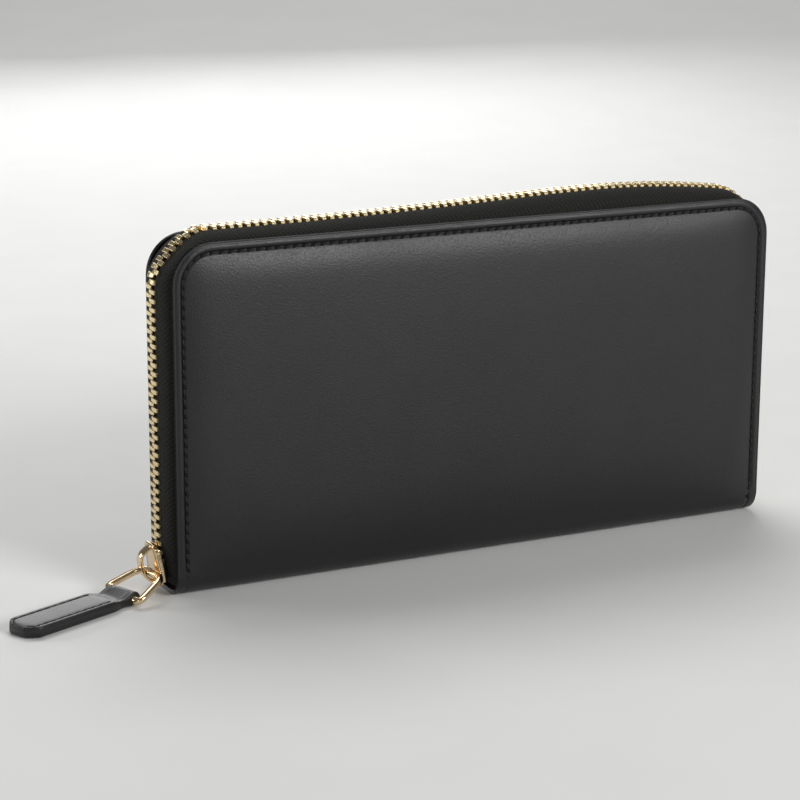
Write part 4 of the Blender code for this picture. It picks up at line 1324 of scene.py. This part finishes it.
# %% Coin bag
bag_low, bag_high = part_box("coin_bag")
bm = bmesh.new()
size = bag_high - bag_low
centre = (bag_low + bag_high) / 2
bmesh.ops.create_cube(bm, size=1.0, matrix=Matrix.Translation(centre) @ Matrix.Diagonal((*size, 1.0)))
cuts = [((bag_low.x + size.x * step / 24, 0, 0), (1, 0, 0)) for step in range(1, 24)]
cuts += [((0, 0, bag_low.z + size.z * step / 12), (0, 0, 1)) for step in range(1, 12)]
for place, normal in cuts:
    every = bm.verts[:] + bm.edges[:] + bm.faces[:]
    bmesh.ops.bisect_plane(bm, geom=every, plane_co=place, plane_no=normal)
bmesh.ops.delete(bm, geom=[face for face in bm.faces if face.normal.z > 0.9], context="FACES")
for vertex in bm.verts:
    across = (vertex.co.x - bag_low.x) / size.x
    up = (vertex.co.z - bag_low.z) / size.z
    slack = math.sin(math.pi * across) * math.sin(math.pi * min(up, 1.0)) * math.sin(across * 21 + up * 7)
    if 0.001 < across < 0.999 and up > 0.001:
        vertex.co.y += 0.16 * MM * slack
laid = bm.loops.layers.uv.new("metres")
for face in bm.faces:
    for loop in face.loops:
        loop[laid].uv = (loop.vert.co.x + loop.vert.co.y, loop.vert.co.z)
bag = add_piece("coin_pocket_bag", bm, [LINING_CLOTH])
wall = bag.modifiers.new("thickness", "SOLIDIFY")
wall.thickness = 0.4 * MM
wall.offset = -1.0
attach(bag, "coin_pocket")
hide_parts("coin_bag")

# %% Coin zip
COIN_PITCH = 1.7 * MM


def coin_zip(half, side):
    """One tape and one row of elements of the coin pocket's zip."""
    low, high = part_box(f"coin_tape_{half}")
    bm = bmesh.new()
    y = (low.y + high.y) / 2
    rings = []
    for step in range(41):
        x = low.x + (high.x - low.x) * step / 40
        line = [(y, low.z), (y, low.z + 2 * MM), (y, high.z - 1.2 * MM), (y, high.z - 0.1 * MM)]
        outer = [Vector((x, a + 0.13 * MM, z)) for a, z in line]
        rings.append(outer + [Vector((x, a - 0.13 * MM, z)) for a, z in line[::-1]])
    sweep(bm, rings)
    tape = add_piece(f"coin_tape_cloth_{half}", bm, [TAPE_CLOTH])
    low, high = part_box(f"coin_teeth_{half}")
    bm = bmesh.new()
    count = round((high.x - low.x) / COIN_PITCH)
    for index in range(count):
        x = low.x + (high.x - low.x) * (index + (0.25 if side == FRONT else 0.75)) / count
        near = Vector((x - 0.5 * MM, low.y + 0.02 * MM, low.z))
        far = Vector((x + 0.5 * MM, high.y - 0.02 * MM, high.z))
        bevelled_block(bm, near, far, 0.14 * MM, segments=1)
    row = add_piece(f"coin_zip_elements_{half}", bm, [TEETH_GOLD], smooth=False)
    dressed = ((tape, f"coin_tape_{half}", "zip_tape"), (row, f"coin_teeth_{half}", "gold_metal"))
    for piece, node, slot in dressed:
        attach(piece, "coin_pocket")
        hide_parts(node)


for half, side in HALVES:
    coin_zip(half, side)
for name in ("coin_stop_left", "coin_stop_right", "coin_slider", "coin_pull"):
    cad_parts[name].data.materials[0] = PULL_GOLD

# %% [markdown]
# ### Gussets
# Each gusset is a strip of nylon cloth with one fold down its middle, a V seen from above. Its two
# edges are sewn to the parts on either side. Each point of the cloth is placed between the two
# edges by its share of the way across, and the strip is baked where it is made, tied to no part.


# %% Gussets
def gusset(place, side, edges):
    """A folded strip between two sewn edges at different depths, its fold towards the wallet's middle."""
    low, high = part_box(place)
    edge_x, fold_x = max(abs(low.x), abs(high.x)), min(abs(low.x), abs(high.x))
    base, top = low.z, high.z
    bm = bmesh.new()
    rows, columns = 16, 12
    bmesh.ops.create_grid(bm, x_segments=columns, y_segments=rows, size=0.5)
    laid = bm.loops.layers.uv.new("metres")
    depth = abs(edge_x - fold_x)
    flat = {}
    for vertex in bm.verts:
        share, up = vertex.co.x + 0.5, vertex.co.y + 0.5
        out = abs(2 * share - 1) ** 1.15
        z = base + (top - base) * up
        flat[vertex] = (share * 2 * depth, z)
        sway = 0.3 * MM * math.sin(up * 9) * (1 - out)
        x = side * (fold_x + (edge_x - fold_x) * out + sway)
        vertex.co = Vector((x, edges[0] + (edges[1] - edges[0]) * share, z))
    for face in bm.faces:
        for loop in face.loops:
            loop[laid].uv = flat[loop.vert]
    before, _, word = place.rpartition("_")
    made = add_piece(f"{before}_cloth_{word}", bm, [GUSSET_CLOTH])
    give_thickness(made, 0.2 * MM)
    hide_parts(place)
    return made, (2 * depth, top - base)


for word, side in (("left", -1), ("right", 1)):
    low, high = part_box(f"front_gusset_{word}")
    edges = (high.y - 0.2 * MM, low.y + 0.2 * MM)
    made, flat = gusset(f"front_gusset_{word}", side, edges)
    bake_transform(made)
    low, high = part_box(f"rear_gusset_{word}")
    edges = (high.y - 0.1 * MM, low.y + 0.1 * MM)
    made, flat = gusset(f"rear_gusset_{word}", side, edges)
    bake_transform(made)
